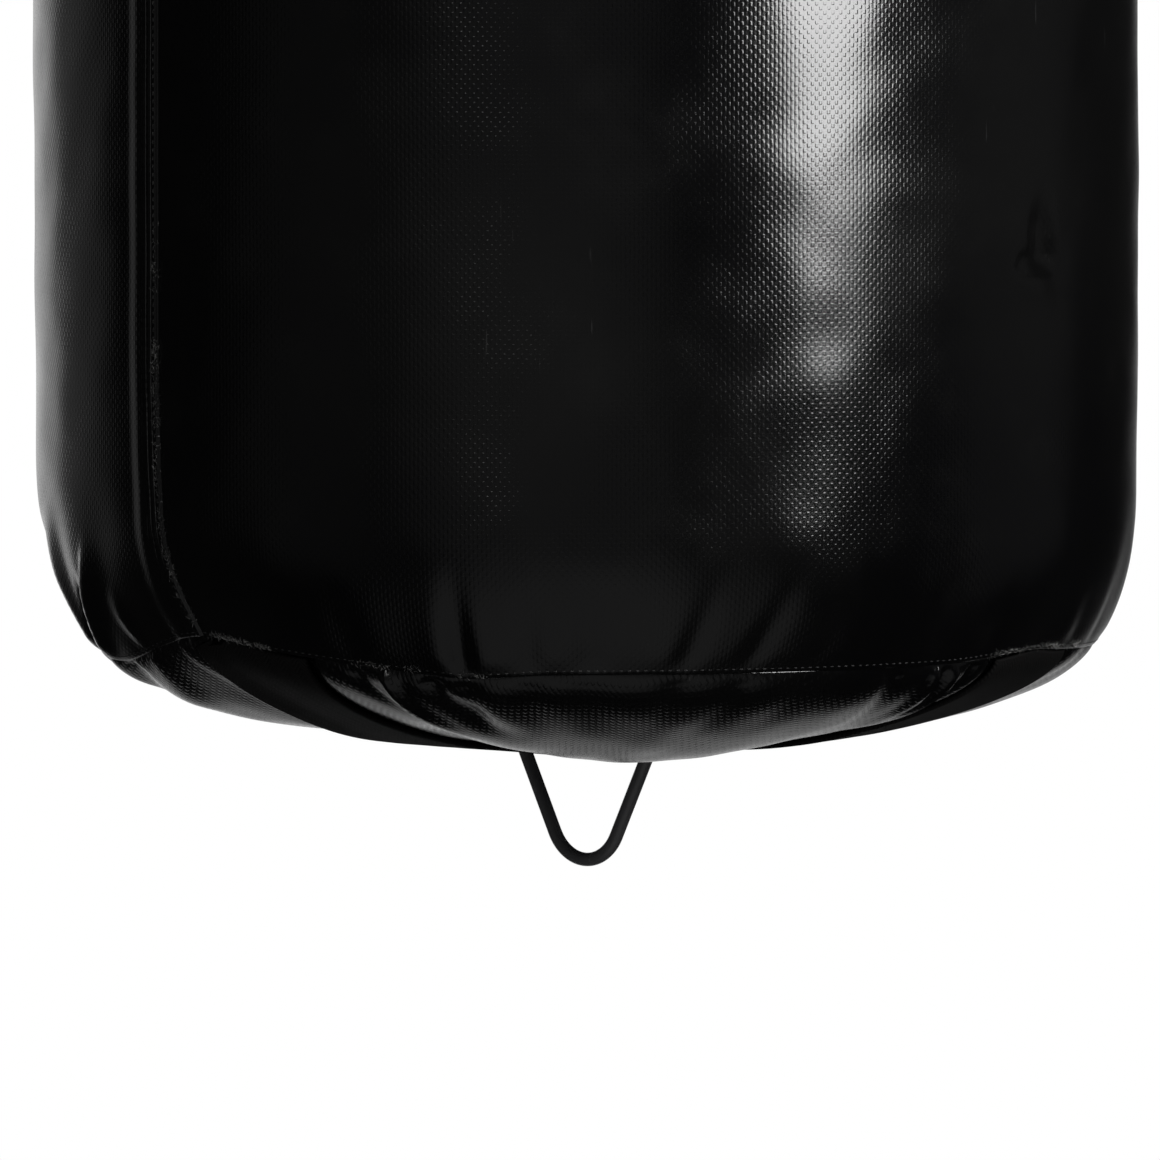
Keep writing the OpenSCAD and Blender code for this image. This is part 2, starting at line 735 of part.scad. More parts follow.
module zip_slider() {
  color(steel_colour)
    translate([slider_x, 0, tape_z]) {
      rotate([90, 0, 90]) linear_extrude(slider_l, center = true) slider_section();
      translate([wedge_back_x - slider_x, 0, 0])
        linear_extrude(channel_h + plate_t, center = true)
          polygon([[0, 0], [wedge_l / 2, wedge_w / 2], [wedge_l, 0], [wedge_l / 2, -wedge_w / 2]]);
      translate([0, 0, plate_top_z - tape_z])
        rotate([90, 0, 0])
          linear_extrude(bridge_w, center = true)
            difference() {
              translate([-bridge_l / 2, 0]) square([bridge_l, bridge_gap + bridge_t]);
              translate([-bridge_l / 2 + bridge_t, -1])
                square([bridge_l - 2 * bridge_t, bridge_gap + 1]);
            }
    }
}

module zip_pull() {
  tab_end = pull_l - pull_w / 2;
  color(steel_colour)
    translate([pull_pin_x, 0, pull_pin_z]) {
      rotate([90, 0, 0]) cylinder(d = pull_pin_d, h = pull_w, center = true, $fn = small_fn);
      translate([0, 0, -pull_t / 2])
        linear_extrude(pull_t)
          difference() {
            union() {
              translate([-tab_end, -pull_w / 2]) square([tab_end, pull_w]);
              translate([-tab_end, 0]) circle(d = pull_w, $fn = small_fn);
            }
            translate([-pull_neck, -pull_w / 2 + pull_arm_w])
              square([pull_neck + 1, pull_w - 2 * pull_arm_w]);
            translate([-tab_end, 0]) circle(d = pull_w / 2, $fn = small_fn);
          }
    }
}

// ---------------------------------------------------------------- bottom panel

// Where the straps hold it in, the bottom panel is a shallow dome under the seam.
function dome_fall(r) = sqrt(max(0.0001, 1 - pow(r / panel_r, 3)));
function dome(r) = bottom_depth * dome_fall(r);
function dome_slope(r) = bottom_depth * 1.5 * r * r / pow(panel_r, 3) / dome_fall(r);
function panel_z(r) = seam_z - sew_gap / 2 - dome(r);
function dome_normal(x, y) =
  let (r = norm([x, y]), s = dome_slope(r), d = r < 0.001 ? [0, 0] : [x, y] / r)
  unit([s * d[0], s * d[1], -1]);

// Distance from a point of the panel to the edge of a strap that lies at a turn from Y.
function edge_distance(x, y, turn) = abs(x * cos(turn) + y * sin(turn)) - web_w / 2;
function bulge_rise(distance) = 1 - exp(-pow(max(0, distance - pillow_start) / pillow_rise, 2));
function bulge(x, y) =
  pillow * bulge_rise(edge_distance(x, y, 0)) * bulge_rise(edge_distance(x, y, 90 + bottom_strap_turn))
    * pow(sin(180 * pow(min(1, norm([x, y]) / panel_r), 1.5)), 0.6) * 1.4;

function panel_ring(angle, inset) =
  [for (j = [0 : panel_sides - 1])
    let (
      r = panel_r * sin(angle),
      x = r * cos(360 * j / panel_sides),
      y = r * sin(360 * j / panel_sides),
      n = dome_normal(x, y))
    [x, y, panel_z(r) - bulge(x, y)] - n * inset];

function flat_ring(r, z) =
  [for (j = [0 : panel_sides - 1])
    [r * cos(360 * j / panel_sides), r * sin(360 * j / panel_sides), z]];

module bottom_panel() {
  edge_z = seam_z - sew_gap / 2;
  angles = [for (i = [1 : panel_rings]) 90 * i / panel_rings];
  outer = [for (a = angles) if (a < 90) panel_ring(a, 0)];
  inner = [for (a = reversed(angles)) if (a < 90) panel_ring(a, canvas_t)];
  color(canvas_colour)
    ring_skin(
      [0, 0, panel_z(0)],
      concat(
        outer,
        [flat_ring(panel_r, edge_z), flat_ring(seam_r - seam_allowance, edge_z),
         flat_ring(seam_r - seam_allowance, edge_z - canvas_t),
         flat_ring(panel_r - canvas_t - 0.5, edge_z - canvas_t)],
        inner),
      [0, 0, panel_z(0) + canvas_t]);
}

// A bottom strap lies on the dome from seam to seam, at a turn from Y. lift is how far its
// middle stands off to pass over what lies under it.
function bottom_strap_row(angle, turn, lift, offset) =
  [for (j = [0 : section_points - 1])
    let (
      w = (j / (section_points - 1) - 0.5) * web_w,
      s = sin(angle) * sqrt(panel_r * panel_r - w * w),
      x = w * cos(turn) - s * sin(turn),
      y = w * sin(turn) + s * cos(turn),
      raise = lift * exp(-pow(s / tie_lift_spread, 2)))
    [x, y, panel_z(norm([x, y])) - raise] + dome_normal(x, y) * offset];

module bottom_strap(turn, lift) {
  color(web_colour)
    band([for (i = [0 : strap_stations])
      let (angle = mix(strap_end_angle, -strap_end_angle, i / strap_stations))
      concat(bottom_strap_row(angle, turn, lift, rest_gap + web_t),
             reversed(bottom_strap_row(angle, turn, lift, rest_gap)))]);
}

module bottom_strap_inner() {
  bottom_strap(bottom_strap_turn - 90, 0);
}

module bottom_strap_outer() {
  bottom_strap(0, tie_lift);
}

module tie_down_ring() {
  color(black_steel_colour)
    translate([0, 0, tie_bar_z])
      mirror([0, 0, 1])
        v_ring(tie_bar_half, tie_corner_r, tie_apex_r, tie_h, tie_wire_d);
}

swivel_eye();
lower_race();
bearing_balls();
upper_race();
shank_nut();
swivel_jaw();
jaw_pin();
split_pin();
hanging_ring();
hanging_strap_a();
hanging_strap_b();
side_panel();
top_panel();
zip_tapes();
zip_teeth();
zip_slider();
zip_pull();
filling();
bottom_panel();
bottom_strap_inner();
bottom_strap_outer();
tie_down_ring();
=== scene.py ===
# %% [markdown]
# # A hanging punching bag, dressed
# The bag is a tube of black coated canvas, packed with rags, closed by a zip at the top and
# by a round panel at the bottom. Two straps of webbing carry it from a ring and a
# ball-bearing swivel. Two more straps cross under it and hold a small V-shaped ring.
# The hard parts come in ready made. This lesson gives them their finish, and makes every
# soft part again in finer detail: the cloth with its puckers, the webbing, the thread.

import math

import bpy
import numpy as np
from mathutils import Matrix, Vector


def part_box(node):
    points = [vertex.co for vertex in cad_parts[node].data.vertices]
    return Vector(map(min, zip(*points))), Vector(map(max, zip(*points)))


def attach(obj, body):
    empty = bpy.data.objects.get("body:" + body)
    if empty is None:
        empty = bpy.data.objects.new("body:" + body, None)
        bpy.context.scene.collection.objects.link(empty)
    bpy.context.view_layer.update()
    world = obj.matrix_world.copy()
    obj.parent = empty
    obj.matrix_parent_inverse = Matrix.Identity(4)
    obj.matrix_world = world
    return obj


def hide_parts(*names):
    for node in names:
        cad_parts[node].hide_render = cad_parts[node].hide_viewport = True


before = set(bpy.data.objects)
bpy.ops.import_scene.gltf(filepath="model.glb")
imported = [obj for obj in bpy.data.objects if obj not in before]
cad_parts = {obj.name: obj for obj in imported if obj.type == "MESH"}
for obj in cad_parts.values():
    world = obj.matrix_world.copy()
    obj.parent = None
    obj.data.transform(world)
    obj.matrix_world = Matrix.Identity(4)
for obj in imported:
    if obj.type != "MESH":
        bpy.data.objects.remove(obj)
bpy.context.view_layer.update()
MM = 0.001

# %% [markdown]
# ## The places that everything else hangs on
# A bag is measured from a few heights and one radius: the rim at the top, the bottom seam,
# and the radius of the stuffed tube. They are read from the boxes of the loaded pieces, so
# the soft pieces made here can't drift away from the hard ones. Angles round the bag are
# counted from the front, which is -Y, towards +X.

# %% Measure the bag
side_low, side_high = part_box("side_panel")
lid_low, lid_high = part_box("top_panel")
bag_r = side_high.x
rim_z = side_high.z
seam_z = side_low.z
lid_r = lid_high.x
canvas_t = 1.2 * MM
web_w = 47 * MM
web_t = 1.8 * MM
rest_gap = 0.3 * MM
rim_r = 12 * MM
hem_h = 50 * MM
hem_draw = 12.8 * MM
hem_power = 2.5
seam_r = bag_r - hem_draw
panel_r = seam_r - web_t - rest_gap
lap_azimuth = -7.0
mm_per_degree = bag_r / MM * math.radians(1)
print("bag radius", round(bag_r, 4), "m, from", round(seam_z, 4), "to", round(rim_z, 4))


def radial(azimuth):
    """Unit vectors pointing out of the bag at azimuths in degrees."""
    a = np.radians(azimuth)
    return np.stack([np.sin(a), -np.cos(a), np.zeros_like(a)], -1)


def tangent(azimuth):
    """Unit vectors that run round the bag, towards larger azimuths."""
    a = np.radians(azimuth)
    return np.stack([np.cos(a), np.sin(a), np.zeros_like(a)], -1)


def azimuth_of(x, y):
    """Azimuth in degrees of a point seen from above."""
    return np.degrees(np.arctan2(x, -y))


def ease(f):
    """A smooth step from 0 to 1."""
    f = np.clip(f, 0, 1)
    return f * f * (3 - 2 * f)


def mix(a, b, f):
    return a + (b - a) * f


def unit(v):
    return v / np.linalg.norm(v, axis=-1, keepdims=True)


def turn_from(azimuth, at):
    """How far one azimuth lies round from another, from -180 to 180 degrees."""
    return (azimuth - at + 180) % 360 - 180


def bell(away, width):
    """1 in the middle, fading smoothly to either side."""
    return np.exp(-((away / width) ** 2))


# %% [markdown]
# ## The camera
# The bag is seen from a little above its bottom seam, from far away with a long lens, so
# that its sides look parallel. The view is turned 43 degrees to the right of the front,
# which puts the small ring's bar askew, and it takes in only the lower end of the bag.

# %% Place the camera
view_azimuth = 43.0
view_elevation = 4.0
view_distance = 9.0
view_width = 0.3742
aim_height = 0.0184
aim_right = -0.0018
camera = bpy.data.objects.new("camera", bpy.data.cameras.new("camera"))
bpy.context.scene.collection.objects.link(camera)
bpy.context.scene.camera = camera
camera.data.sensor_width = 36
camera.data.lens = camera.data.sensor_width * view_distance / view_width
tilt = math.radians(view_elevation)
towards_camera = Vector(radial(view_azimuth)) * math.cos(tilt) + Vector((0, 0, math.sin(tilt)))
rightward = Vector(tangent(view_azimuth))
aim = Vector((0, 0, seam_z + aim_height)) + rightward * aim_right
camera.location = aim + towards_camera * view_distance
camera.rotation_euler = towards_camera.to_track_quat("Z", "Y").to_euler()
camera.data.clip_start = 0.05
camera.data.clip_end = 80
print("camera", round(view_distance, 2), "m away, lens", round(camera.data.lens), "mm")

# %% [markdown]
# ## Wiring materials
# Each finish is a small net of shader nodes. Writing the nets by hand takes many lines, so
# a helper class makes nodes and joins them: an input given as a number is set on the node,
# and an input given as a socket is linked to it.

# %% A helper for node nets


class Net:
    """Short ways to add and join nodes in one tree."""

    def __init__(self, tree):
        self.nodes, self.links = tree.nodes, tree.links

    def put(self, socket, value):
        if isinstance(value, bpy.types.NodeSocket):
            self.links.new(value, socket)
        else:
            socket.default_value = value

    def node(self, kind, inputs=(), **settings):
        made = self.nodes.new("ShaderNode" + kind)
        for name, value in settings.items():
            setattr(made, name, value)
        for name, value in dict(inputs).items():
            self.put(made.inputs[name], value)
        return made

    def math(self, operation, *values):
        made = self.node("Math", operation=operation)
        for socket, value in zip(made.inputs, values):
            self.put(socket, value)
        return made.outputs[0]

    def band(self, value, low, high, to_low=0.0, to_high=1.0):
        """value moved smoothly from low..high to to_low..to_high, and held at the ends."""
        made = self.node(
            "MapRange",
            {"Value": value, "From Min": low, "From Max": high, "To Min": to_low, "To Max": to_high},
            interpolation_type="SMOOTHSTEP",
        )
        return made.outputs["Result"]


class Finish(Net):
    """A material, which starts as one shader."""

    def __init__(self, name, colour, roughness, metallic=0.0):
        self.material = bpy.data.materials.new(name)
        self.material.use_nodes = True
        super().__init__(self.material.node_tree)
        self.shader = self.nodes["Principled BSDF"]
        self.shader.inputs["Base Color"].default_value = (*colour, 1)
        self.shader.inputs["Roughness"].default_value = roughness
        self.shader.inputs["Metallic"].default_value = metallic

    def place(self):
        """The point on the piece, in metres, which stays with the piece as it moves."""
        return self.node("TexCoord").outputs["Object"]

    def cloth(self):
        """Place on the flat cloth, in metres: across, and along."""
        split = self.node("SeparateXYZ", {"Vector": self.node("UVMap", uv_map="cloth").outputs[0]})
        return split.outputs["X"], split.outputs["Y"]

    def noise(self, scale, detail=3.0, vector=None, roughness=0.5):
        made = self.node(
            "TexNoise",
            {"Scale": scale, "Detail": detail, "Roughness": roughness,
             "Vector": self.place() if vector is None else vector},
        )
        return made.outputs["Fac"]

    def colours(self, factor, first, second):
        made = self.node("Mix", data_type="RGBA")
        self.put(made.inputs["Factor"], factor)
        self.put(made.inputs["A"], (*first, 1) if isinstance(first, tuple) else first)
        self.put(made.inputs["B"], (*second, 1) if isinstance(second, tuple) else second)
        return made.outputs["Result"]

    def bump(self, height, distance, normal=None):
        inputs = {"Height": height, "Distance": distance}
        if normal is not None:
            inputs["Normal"] = normal
        return self.node("Bump", inputs).outputs["Normal"]

    def set(self, **inputs):
        for name, value in inputs.items():
            self.put(self.shader.inputs[name.replace("_", " ").title()], value)
        return self.material


print("node helper ready")

# %% [markdown]
# ## Coated canvas
# The bag's cloth is plain-woven canvas with a black vinyl coat. The coat fills the weave
# but doesn't hide it: each crossing thread stays as a small raised dot, and the dots stand
# in a chequered order. The product of two cosines has just that order of peaks, so it
# drives the bump. Slow noise makes the coat thicker in places, where the weave fades, and
# changes the gloss from place to place as handling does.

# %% Make the coated canvas
dot_column = 1.4 * MM
dot_row = 1.5 * MM


def coated_canvas(name, weave_depth):
    f = Finish(name, (0.0009, 0.0009, 0.0010), 0.3)
    across, along = f.cloth()
    slow = f.noise(9.0, 2.0)
    patch = f.noise(42.0, 4.0)
    fine = f.noise(1500.0, 2.0)
    stray = f.math("MULTIPLY", f.math("SUBTRACT", f.noise(240.0, 1.0), 0.5), 0.9)
    column = f.math("COSINE", f.math("ADD", f.math("MULTIPLY", across, math.pi / dot_column), stray))
    row = f.math("COSINE", f.math("ADD", f.math("MULTIPLY", along, math.pi / dot_row), stray))
    ridge = f.math("ABSOLUTE", column)
    oval = f.math("MULTIPLY", f.math("MULTIPLY", column, ridge),
                  f.math("MAXIMUM", f.math("MINIMUM", f.math("MULTIPLY", row, 1.7), 1.0), -1.0))
    dots = f.band(oval, -0.1, 0.75)
    weave = f.math("ADD", f.math("MULTIPLY", dots, 0.75), f.math("MULTIPLY", ridge, 0.3))
    depth = f.band(patch, 0.35, 0.7, 0.6, 1.0)
    height = f.math("ADD", f.math("MULTIPLY", weave, depth), f.math("MULTIPLY", fine, 0.45))
    scratch = f.node(
        "TexNoise", {"Vector": f.node("Mapping", {"Vector": f.place(), "Rotation": (0.5, 0.4, 0.2),
                                                  "Scale": (420.0, 420.0, 34.0)}).outputs[0],
                     "Scale": 1.0, "Detail": 2.0}).outputs["Fac"]
    marks = f.math("MULTIPLY", f.band(scratch, 0.72, 0.78), f.band(slow, 0.5, 0.62))
    dust = f.math("MULTIPLY", f.band(patch, 0.5, 0.8), 0.25)
    tone = f.colours(f.band(slow, 0.3, 0.7), (0.0005, 0.0005, 0.0006), (0.0011, 0.0011, 0.0011))
    tone = f.colours(dust, tone, (0.0024, 0.0023, 0.0022))
    tone = f.colours(f.math("MULTIPLY", marks, 0.4), tone, (0.02, 0.02, 0.02))
    rough = f.band(f.math("ADD", f.math("MULTIPLY", slow, 0.6), f.math("MULTIPLY", patch, 0.4)),
                   0.3, 0.7, 0.13, 0.21)
    f.shader.inputs["IOR"].default_value = 1.5
    return f.set(base_color=tone, roughness=rough, normal=f.bump(height, weave_depth))


canvas_finish = coated_canvas("coated_canvas", 0.042 * MM)
under_finish = coated_canvas("coated_canvas_under", 0.09 * MM)
print("dots every", dot_column / MM, "mm across and", dot_row / MM, "mm along")

# %% [markdown]
# ## Webbing and thread
# Webbing is woven thick and narrow, with a herringbone of ribs, and it is matt: its yarns
# scatter light where the coated canvas mirrors it. The ribs are a folded diagonal wave
# along the strap. The thread is the same yarn, twisted, so a fine slanted wave is enough.

# %% Make the webbing and the thread


def webbing(name, colour, rib_light_and_fade_colour):
    f = Finish(name, colour, 0.8)
    across, along = f.cloth()
    fold = f.math("PINGPONG", f.math("ADD", across, 1.0), 2.9 * MM)
    rib = f.math("SINE", f.math("MULTIPLY", f.math("ADD", along, f.math("MULTIPLY", fold, 1.2)),
                                2 * math.pi / (1.7 * MM)))
    yarn = f.math("SINE", f.math("MULTIPLY", across, 2 * math.pi / (0.72 * MM)))
    fuzz = f.noise(3200.0, 3.0)
    height = f.math("ADD", f.math("MULTIPLY", rib, 0.5),
                    f.math("ADD", f.math("MULTIPLY", yarn, 0.25), f.math("MULTIPLY", fuzz, 0.5)))
    # Painted light: the rib tops are painted lighter and the grooves darker, following the relief. Random
    # noise patches also fade the strap towards the same lighter colour.
    tone = f.colours(f.band(f.math("ADD", rib, fuzz), -0.6, 1.4), colour, rib_light_and_fade_colour)
    tone = f.colours(f.band(f.noise(60.0, 4.0), 0.45, 0.8, 0.0, 0.5), tone, rib_light_and_fade_colour)
    f.shader.inputs["Specular IOR Level"].default_value = 0.06
    return f.set(base_color=tone, normal=f.bump(height, 0.12 * MM))


def thread(name, colour, light):
    f = Finish(name, colour, 0.75)
    twist = f.math("SINE", f.math("MULTIPLY", f.noise(900.0, 1.0), 40.0))
    tone = f.colours(f.band(f.noise(70.0, 2.0), 0.4, 0.7), colour, light)
    return f.set(base_color=tone, normal=f.bump(twist, 0.05 * MM))


web_finish = webbing("webbing", (0.0009, 0.0009, 0.0010), (0.0028, 0.0026, 0.0025))
thread_finish = thread("thread", (0.0022, 0.0022, 0.0022), (0.010, 0.010, 0.0096))
worn_thread_finish = thread("worn_thread", (0.035, 0.035, 0.034), (0.16, 0.158, 0.154))
print("webbing and thread ready")

# %% [markdown]
# ## Steel, plastic and rags
# The swivel is zinc-plated: bright, a little uneven, with faint turning marks. The two
# rings are painted black over welded wire. The zip is moulded plastic with a cast slider.
# Noise in the roughness is what tells a cast or plated part from a computer's perfect one.

# %% Make the hard finishes


def plated_steel(name, colour, dark, low, high, marks):
    f = Finish(name, colour, low, 1.0)
    cloud = f.noise(55.0, 5.0)
    grain = f.noise(1400.0, 2.0)
    tone = f.colours(f.band(cloud, 0.35, 0.75), colour, dark)
    rough = f.band(cloud, 0.3, 0.75, low, high)
    return f.set(base_color=tone, roughness=rough, normal=f.bump(grain, marks))


def painted_steel(name, colour, low, high):
    f = Finish(name, colour, low)
    peel = f.noise(700.0, 2.0)
    cloud = f.noise(120.0, 3.0)
    tone = f.colours(f.band(cloud, 0.6, 0.8), colour, tuple(2.2 * c for c in colour))
    return f.set(base_color=tone, roughness=f.band(cloud, 0.3, 0.7, low, high),
                 normal=f.bump(peel, 0.03 * MM))


def moulded_plastic(name, colour):
    f = Finish(name, colour, 0.45)
    return f.set(roughness=f.band(f.noise(300.0, 3.0), 0.3, 0.7, 0.38, 0.55),
                 normal=f.bump(f.noise(1800.0, 2.0), 0.02 * MM))


def woven_tape(name, colour):
    f = Finish(name, colour, 0.85)
    across, along = f.cloth()
    ribs = f.math("SINE", f.math("MULTIPLY", along, 2 * math.pi / (0.8 * MM)))
    cords = f.math("SINE", f.math("MULTIPLY", across, 2 * math.pi / (1.1 * MM)))
    # Painted light: the rib crests are painted lighter than the troughs between them.
    tone = f.colours(f.band(ribs, -1.0, 1.0), colour, tuple(1.8 * c for c in colour))
    return f.set(base_color=tone, normal=f.bump(f.math("MULTIPLY", ribs, cords), 0.08 * MM))


def rags(name):
    f = Finish(name, (0.3, 0.28, 0.25), 0.9)
    patch = f.noise(30.0, 2.0)
    tone = f.colours(f.band(patch, 0.4, 0.6), (0.32, 0.30, 0.27), (0.18, 0.20, 0.24))
    return f.set(base_color=tone, normal=f.bump(f.noise(400.0, 5.0), 1.0 * MM))


zinc_finish = plated_steel("zinc_steel", (0.60, 0.60, 0.60), (0.42, 0.42, 0.43),
                           0.22, 0.42, 0.02 * MM)
race_finish = plated_steel("race_steel", (0.50, 0.49, 0.47), (0.34, 0.33, 0.31),
                           0.25, 0.4, 0.01 * MM)
ball_finish = plated_steel("ball_steel", (0.74, 0.74, 0.74), (0.66, 0.66, 0.66),
                           0.08, 0.14, 0.004 * MM)
ring_finish = painted_steel("black_steel", (0.022, 0.022, 0.023), 0.16, 0.28)
slider_finish = painted_steel("slider_paint", (0.03, 0.03, 0.03), 0.28, 0.42)
zip_finish = moulded_plastic("zip_plastic", (0.014, 0.014, 0.015))
tape_finish = woven_tape("zip_tape", (0.010, 0.010, 0.011))
rag_finish = rags("rag_filling")
print(len(bpy.data.materials), "finishes made")

# %% [markdown]
# ## Finishing the hard parts
# The swivel, the rings and the zip's hard parts already have their true shape, so each only
# gets its finish. A node's object keeps its place, and its material slot is filled anew.

# %% Dress the hard nodes
hard_finishes = {
    "swivel_eye": zinc_finish,
    "lower_race": race_finish,
    "bearing_balls": ball_finish,
    "upper_race": race_finish,
    "shank_nut": zinc_finish,
    "swivel_jaw": zinc_finish,
    "jaw_pin": zinc_finish,
    "split_pin": race_finish,
    "hanging_ring": ring_finish,
    "tie_down_ring": ring_finish,
    "zip_teeth": zip_finish,
    "zip_slider": slider_finish,
    "zip_pull": slider_finish,
}
for node_name, finish in hard_finishes.items():
    node_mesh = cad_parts[node_name].data
    node_mesh.materials.clear()
    node_mesh.materials.append(finish)
print(len(hard_finishes), "hard parts finished")

# %% [markdown]
# ## Cloth as a grid
# A sheet of cloth is easiest to make as a grid of points: rows along it, columns across it.
# The helper turns such a grid into a mesh and writes down, for each corner of each face,
# where that corner lies on the flat cloth. The weave follows that flat map, so it bends
# with the cloth and never stretches over a seam.

# %% Helpers that make cloth


def soft_piece(name, points, faces, body, finish, uv=None):
    """A smooth piece on a body. uv is where each corner of each face lies on the flat cloth."""
    mesh = bpy.data.meshes.new(name)
    mesh.from_pydata(points.reshape(-1, 3).tolist(), [], faces)
    if uv is not None:
        layer = mesh.uv_layers.new(name="cloth", do_init=False)
        layer.uv.foreach_set("vector", uv.reshape(-1).astype(np.float32))
    mesh.shade_smooth()
    mesh.materials.append(finish)
    piece = bpy.data.objects.new(name, mesh)
    bpy.context.scene.collection.objects.link(piece)
    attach(piece, body)
    return piece


def grid_piece(name, points, flat, body, finish, closed=False, pole=None, thickness=0.0):
    """A piece from rows x columns of points. flat holds each point's place on the cloth.

    closed joins the last column to the first, and pole is a point that fills the hole inside
    the first row of a closed grid."""
    rows, columns = points.shape[:2]
    spans = columns if closed else columns - 1
    i, j = (x.ravel() for x in np.meshgrid(np.arange(rows - 1), np.arange(spans), indexing="ij"))
    right = (j + 1) % columns
    corners = np.stack([i * columns + j, i * columns + right,
                        (i + 1) * columns + right, (i + 1) * columns + j], -1)
    around = np.concatenate([flat, closing(flat)], 1) if closed else flat
    uv = np.stack([around[i, j], around[i, j + 1], around[i + 1, j + 1], around[i + 1, j]], 1)
    vertices, faces, uv = points.reshape(-1, 3), corners.tolist(), uv.reshape(-1, 2)
    if pole is not None:
        ring = np.arange(columns)
        following = (ring + 1) % columns
        middle = np.repeat(flat[:1, ::columns // 4].mean(1), columns, 0)
        faces += np.stack([following, np.full(columns, len(vertices)), ring], -1).tolist()
        fan = np.stack([flat[0, following], middle, flat[0]], 1)
        uv = np.concatenate([uv, fan.reshape(-1, 2)])
        vertices = np.concatenate([vertices, [pole]])
    piece = soft_piece(name, vertices, faces, body, finish, uv)
    if thickness:
        shell = piece.modifiers.new("thickness", "SOLIDIFY")
        shell.thickness = thickness
        shell.offset = -1
    return piece


def closing(flat):
    """The flat place one column past the last, so that a tube's weave meets itself."""
    step = flat[:, -1:] - flat[:, -2:-1]
    return flat[:, -1:] + step


def lengths(points):
    """How far along a row of points each one lies."""
    steps = np.linalg.norm(np.diff(points, axis=0), axis=-1)
    return np.concatenate([[0.0], np.cumsum(steps)])


class Waves:
    """Smooth seeded unevenness: a sum of waves that meet themselves round the bag."""

    def __init__(self, seed, shortest, longest, count=24):
        draw = np.random.default_rng(seed)
        length = np.exp(draw.uniform(math.log(shortest), math.log(longest), count))
        turn = draw.uniform(0, 2 * math.pi, count)
        self.around = np.round(2 * math.pi * bag_r / length * np.cos(turn))
        self.along = 2 * math.pi / length * np.sin(turn)
        self.phase = draw.uniform(0, 2 * math.pi, count)
        self.weight = np.sqrt(length / longest) / math.sqrt(count / 2)

    def __call__(self, azimuth, height):
        a = np.radians(azimuth)[..., None]
        waves = np.sin(self.around * a + self.along * height[..., None] + self.phase)
        return (waves * self.weight).sum(-1)


print("cloth helpers ready")

# %% [markdown]
# ## How the stuffed cloth gives
# Packed rags press the cloth out and the bottom seam pulls it in, so the side is smooth
# where it is tight and puckered where it is gathered. Everything that bends the cloth is
# described once, as functions of the azimuth and of the height over the seam, and the side,
# the bottom panel, the straps and the stitches all use them.
#
# A pucker is a soft valley that starts at the seam and fades upwards. The ones named here
# are on the shown side, and seeded ones fill the rest of the way round.

# %% Describe the seam's rise, the puckers and the creases
# Azimuth, width in degrees and rise in mm of each place where a strap tugs at the seam.
seam_tugs = [(-6, 8, 5.5), (4, 14, 4.5), (103, 9, 2.0), (180, 14, 4.0), (283, 12, 3.0),
             (30, 6, -1.6), (-22, 6, -2.6), (128, 9, -1.0), (230, 15, -1.2)]
# Azimuth, half width, depth, top, and slant in mm per mm of each pucker over the seam.
side_puckers = [
    (29.6, 4.6, 3.4, 42, -0.05), (36.8, 5.0, 1.4, 34, 0.0), (43.6, 6.0, 1.1, 30, 0.0),
    (53.5, 5.0, 1.6, 40, 0.35), (60.5, 5.0, 1.4, 46, 0.5), (68.0, 6.0, 1.2, 38, 0.5),
    (17.0, 6.0, 0.9, 34, -0.2), (8.5, 6.0, 0.8, 30, -0.2), (80.0, 7.0, 1.2, 40, 0.4),
    (93.0, 6.0, 1.3, 34, 0.2), (113.0, 6.0, 0.7, 34, -0.2), (121.0, 5.0, 0.5, 30, -0.1),
]
# From azimuth and height to azimuth and height, then half width, swell in mm and lean of each
# crease. A lean of 1 makes its flank gentle towards larger azimuths, and -1 the other way.
side_creases = [
    (-30.0, -1, -37.5, 44, 2.0, 3.6, 1), (-34.0, -1, -43.0, 40, 4.0, -2.4, 0),
    (-25.2, -1, -21.8, 40, 1.8, 3.0, 1), (-28.0, -1, -26.0, 26, 2.2, -2.6, 0),
    (-14.6, 2, -18.6, 22, 2.2, 1.2, 0), (93.5, 127, 103.0, 128, 2.2, -2.6, 0),
    (96.0, 134, 100.5, 137, 6.5, -2.4, 0), (94.0, 121, 101.0, 121, 4.0, 0.9, 0),
]
# Azimuth, width in degrees and depth in mm of each place where the corner is pulled in.
side_hollows = [(-47, 17, 8.5), (222, 20, 4.0)]


def seam_rise(azimuth):
    """How much higher than level the bottom seam lies."""
    rise = np.zeros_like(azimuth, dtype=float)
    for at, width, height in seam_tugs:
        rise += height * MM * bell(turn_from(azimuth, at), width)
    return rise


def all_puckers():
    """The named puckers, and seeded ones round the rest of the bag."""
    draw = np.random.default_rng(7)
    made = list(side_puckers)
    at = 134.0
    while at < 318.0:
        made.append((at, draw.uniform(4, 7), draw.uniform(0.8, 2.6), draw.uniform(28, 46),
                     draw.uniform(-0.4, 0.4)))
        at += draw.uniform(5.5, 10.0)
    return made


def crease(azimuth, height, line):
    """A narrow fold along a straight line on the cloth, out for a positive swell."""
    a0, h0, a1, h1, width, swell, lean = line
    s = turn_from(azimuth, a0) * mm_per_degree
    h = height / MM - h0
    run = np.array([(a1 - a0) * mm_per_degree, h1 - h0])
    length = np.hypot(*run)
    along = (s * run[0] + h * run[1]) / length
    off = (s * run[1] - h * run[0]) / length
    near = ease((along + 3) / 8) * (1 - ease((along - 0.45 * length) / (0.6 * length)))
    gentle = np.where(off * lean * np.sign(run[1]) > 0, 3.2, 1.0)
    spread = width * gentle * (1 + 0.8 * np.clip(along / length, 0, 1))
    return swell * MM * near * bell(off, spread)


puckers = all_puckers()
broad_waves = Waves(3, 0.14, 0.7)
small_waves = Waves(5, 0.022, 0.07, 30)
print(len(puckers), "puckers and", len(side_creases), "creases")


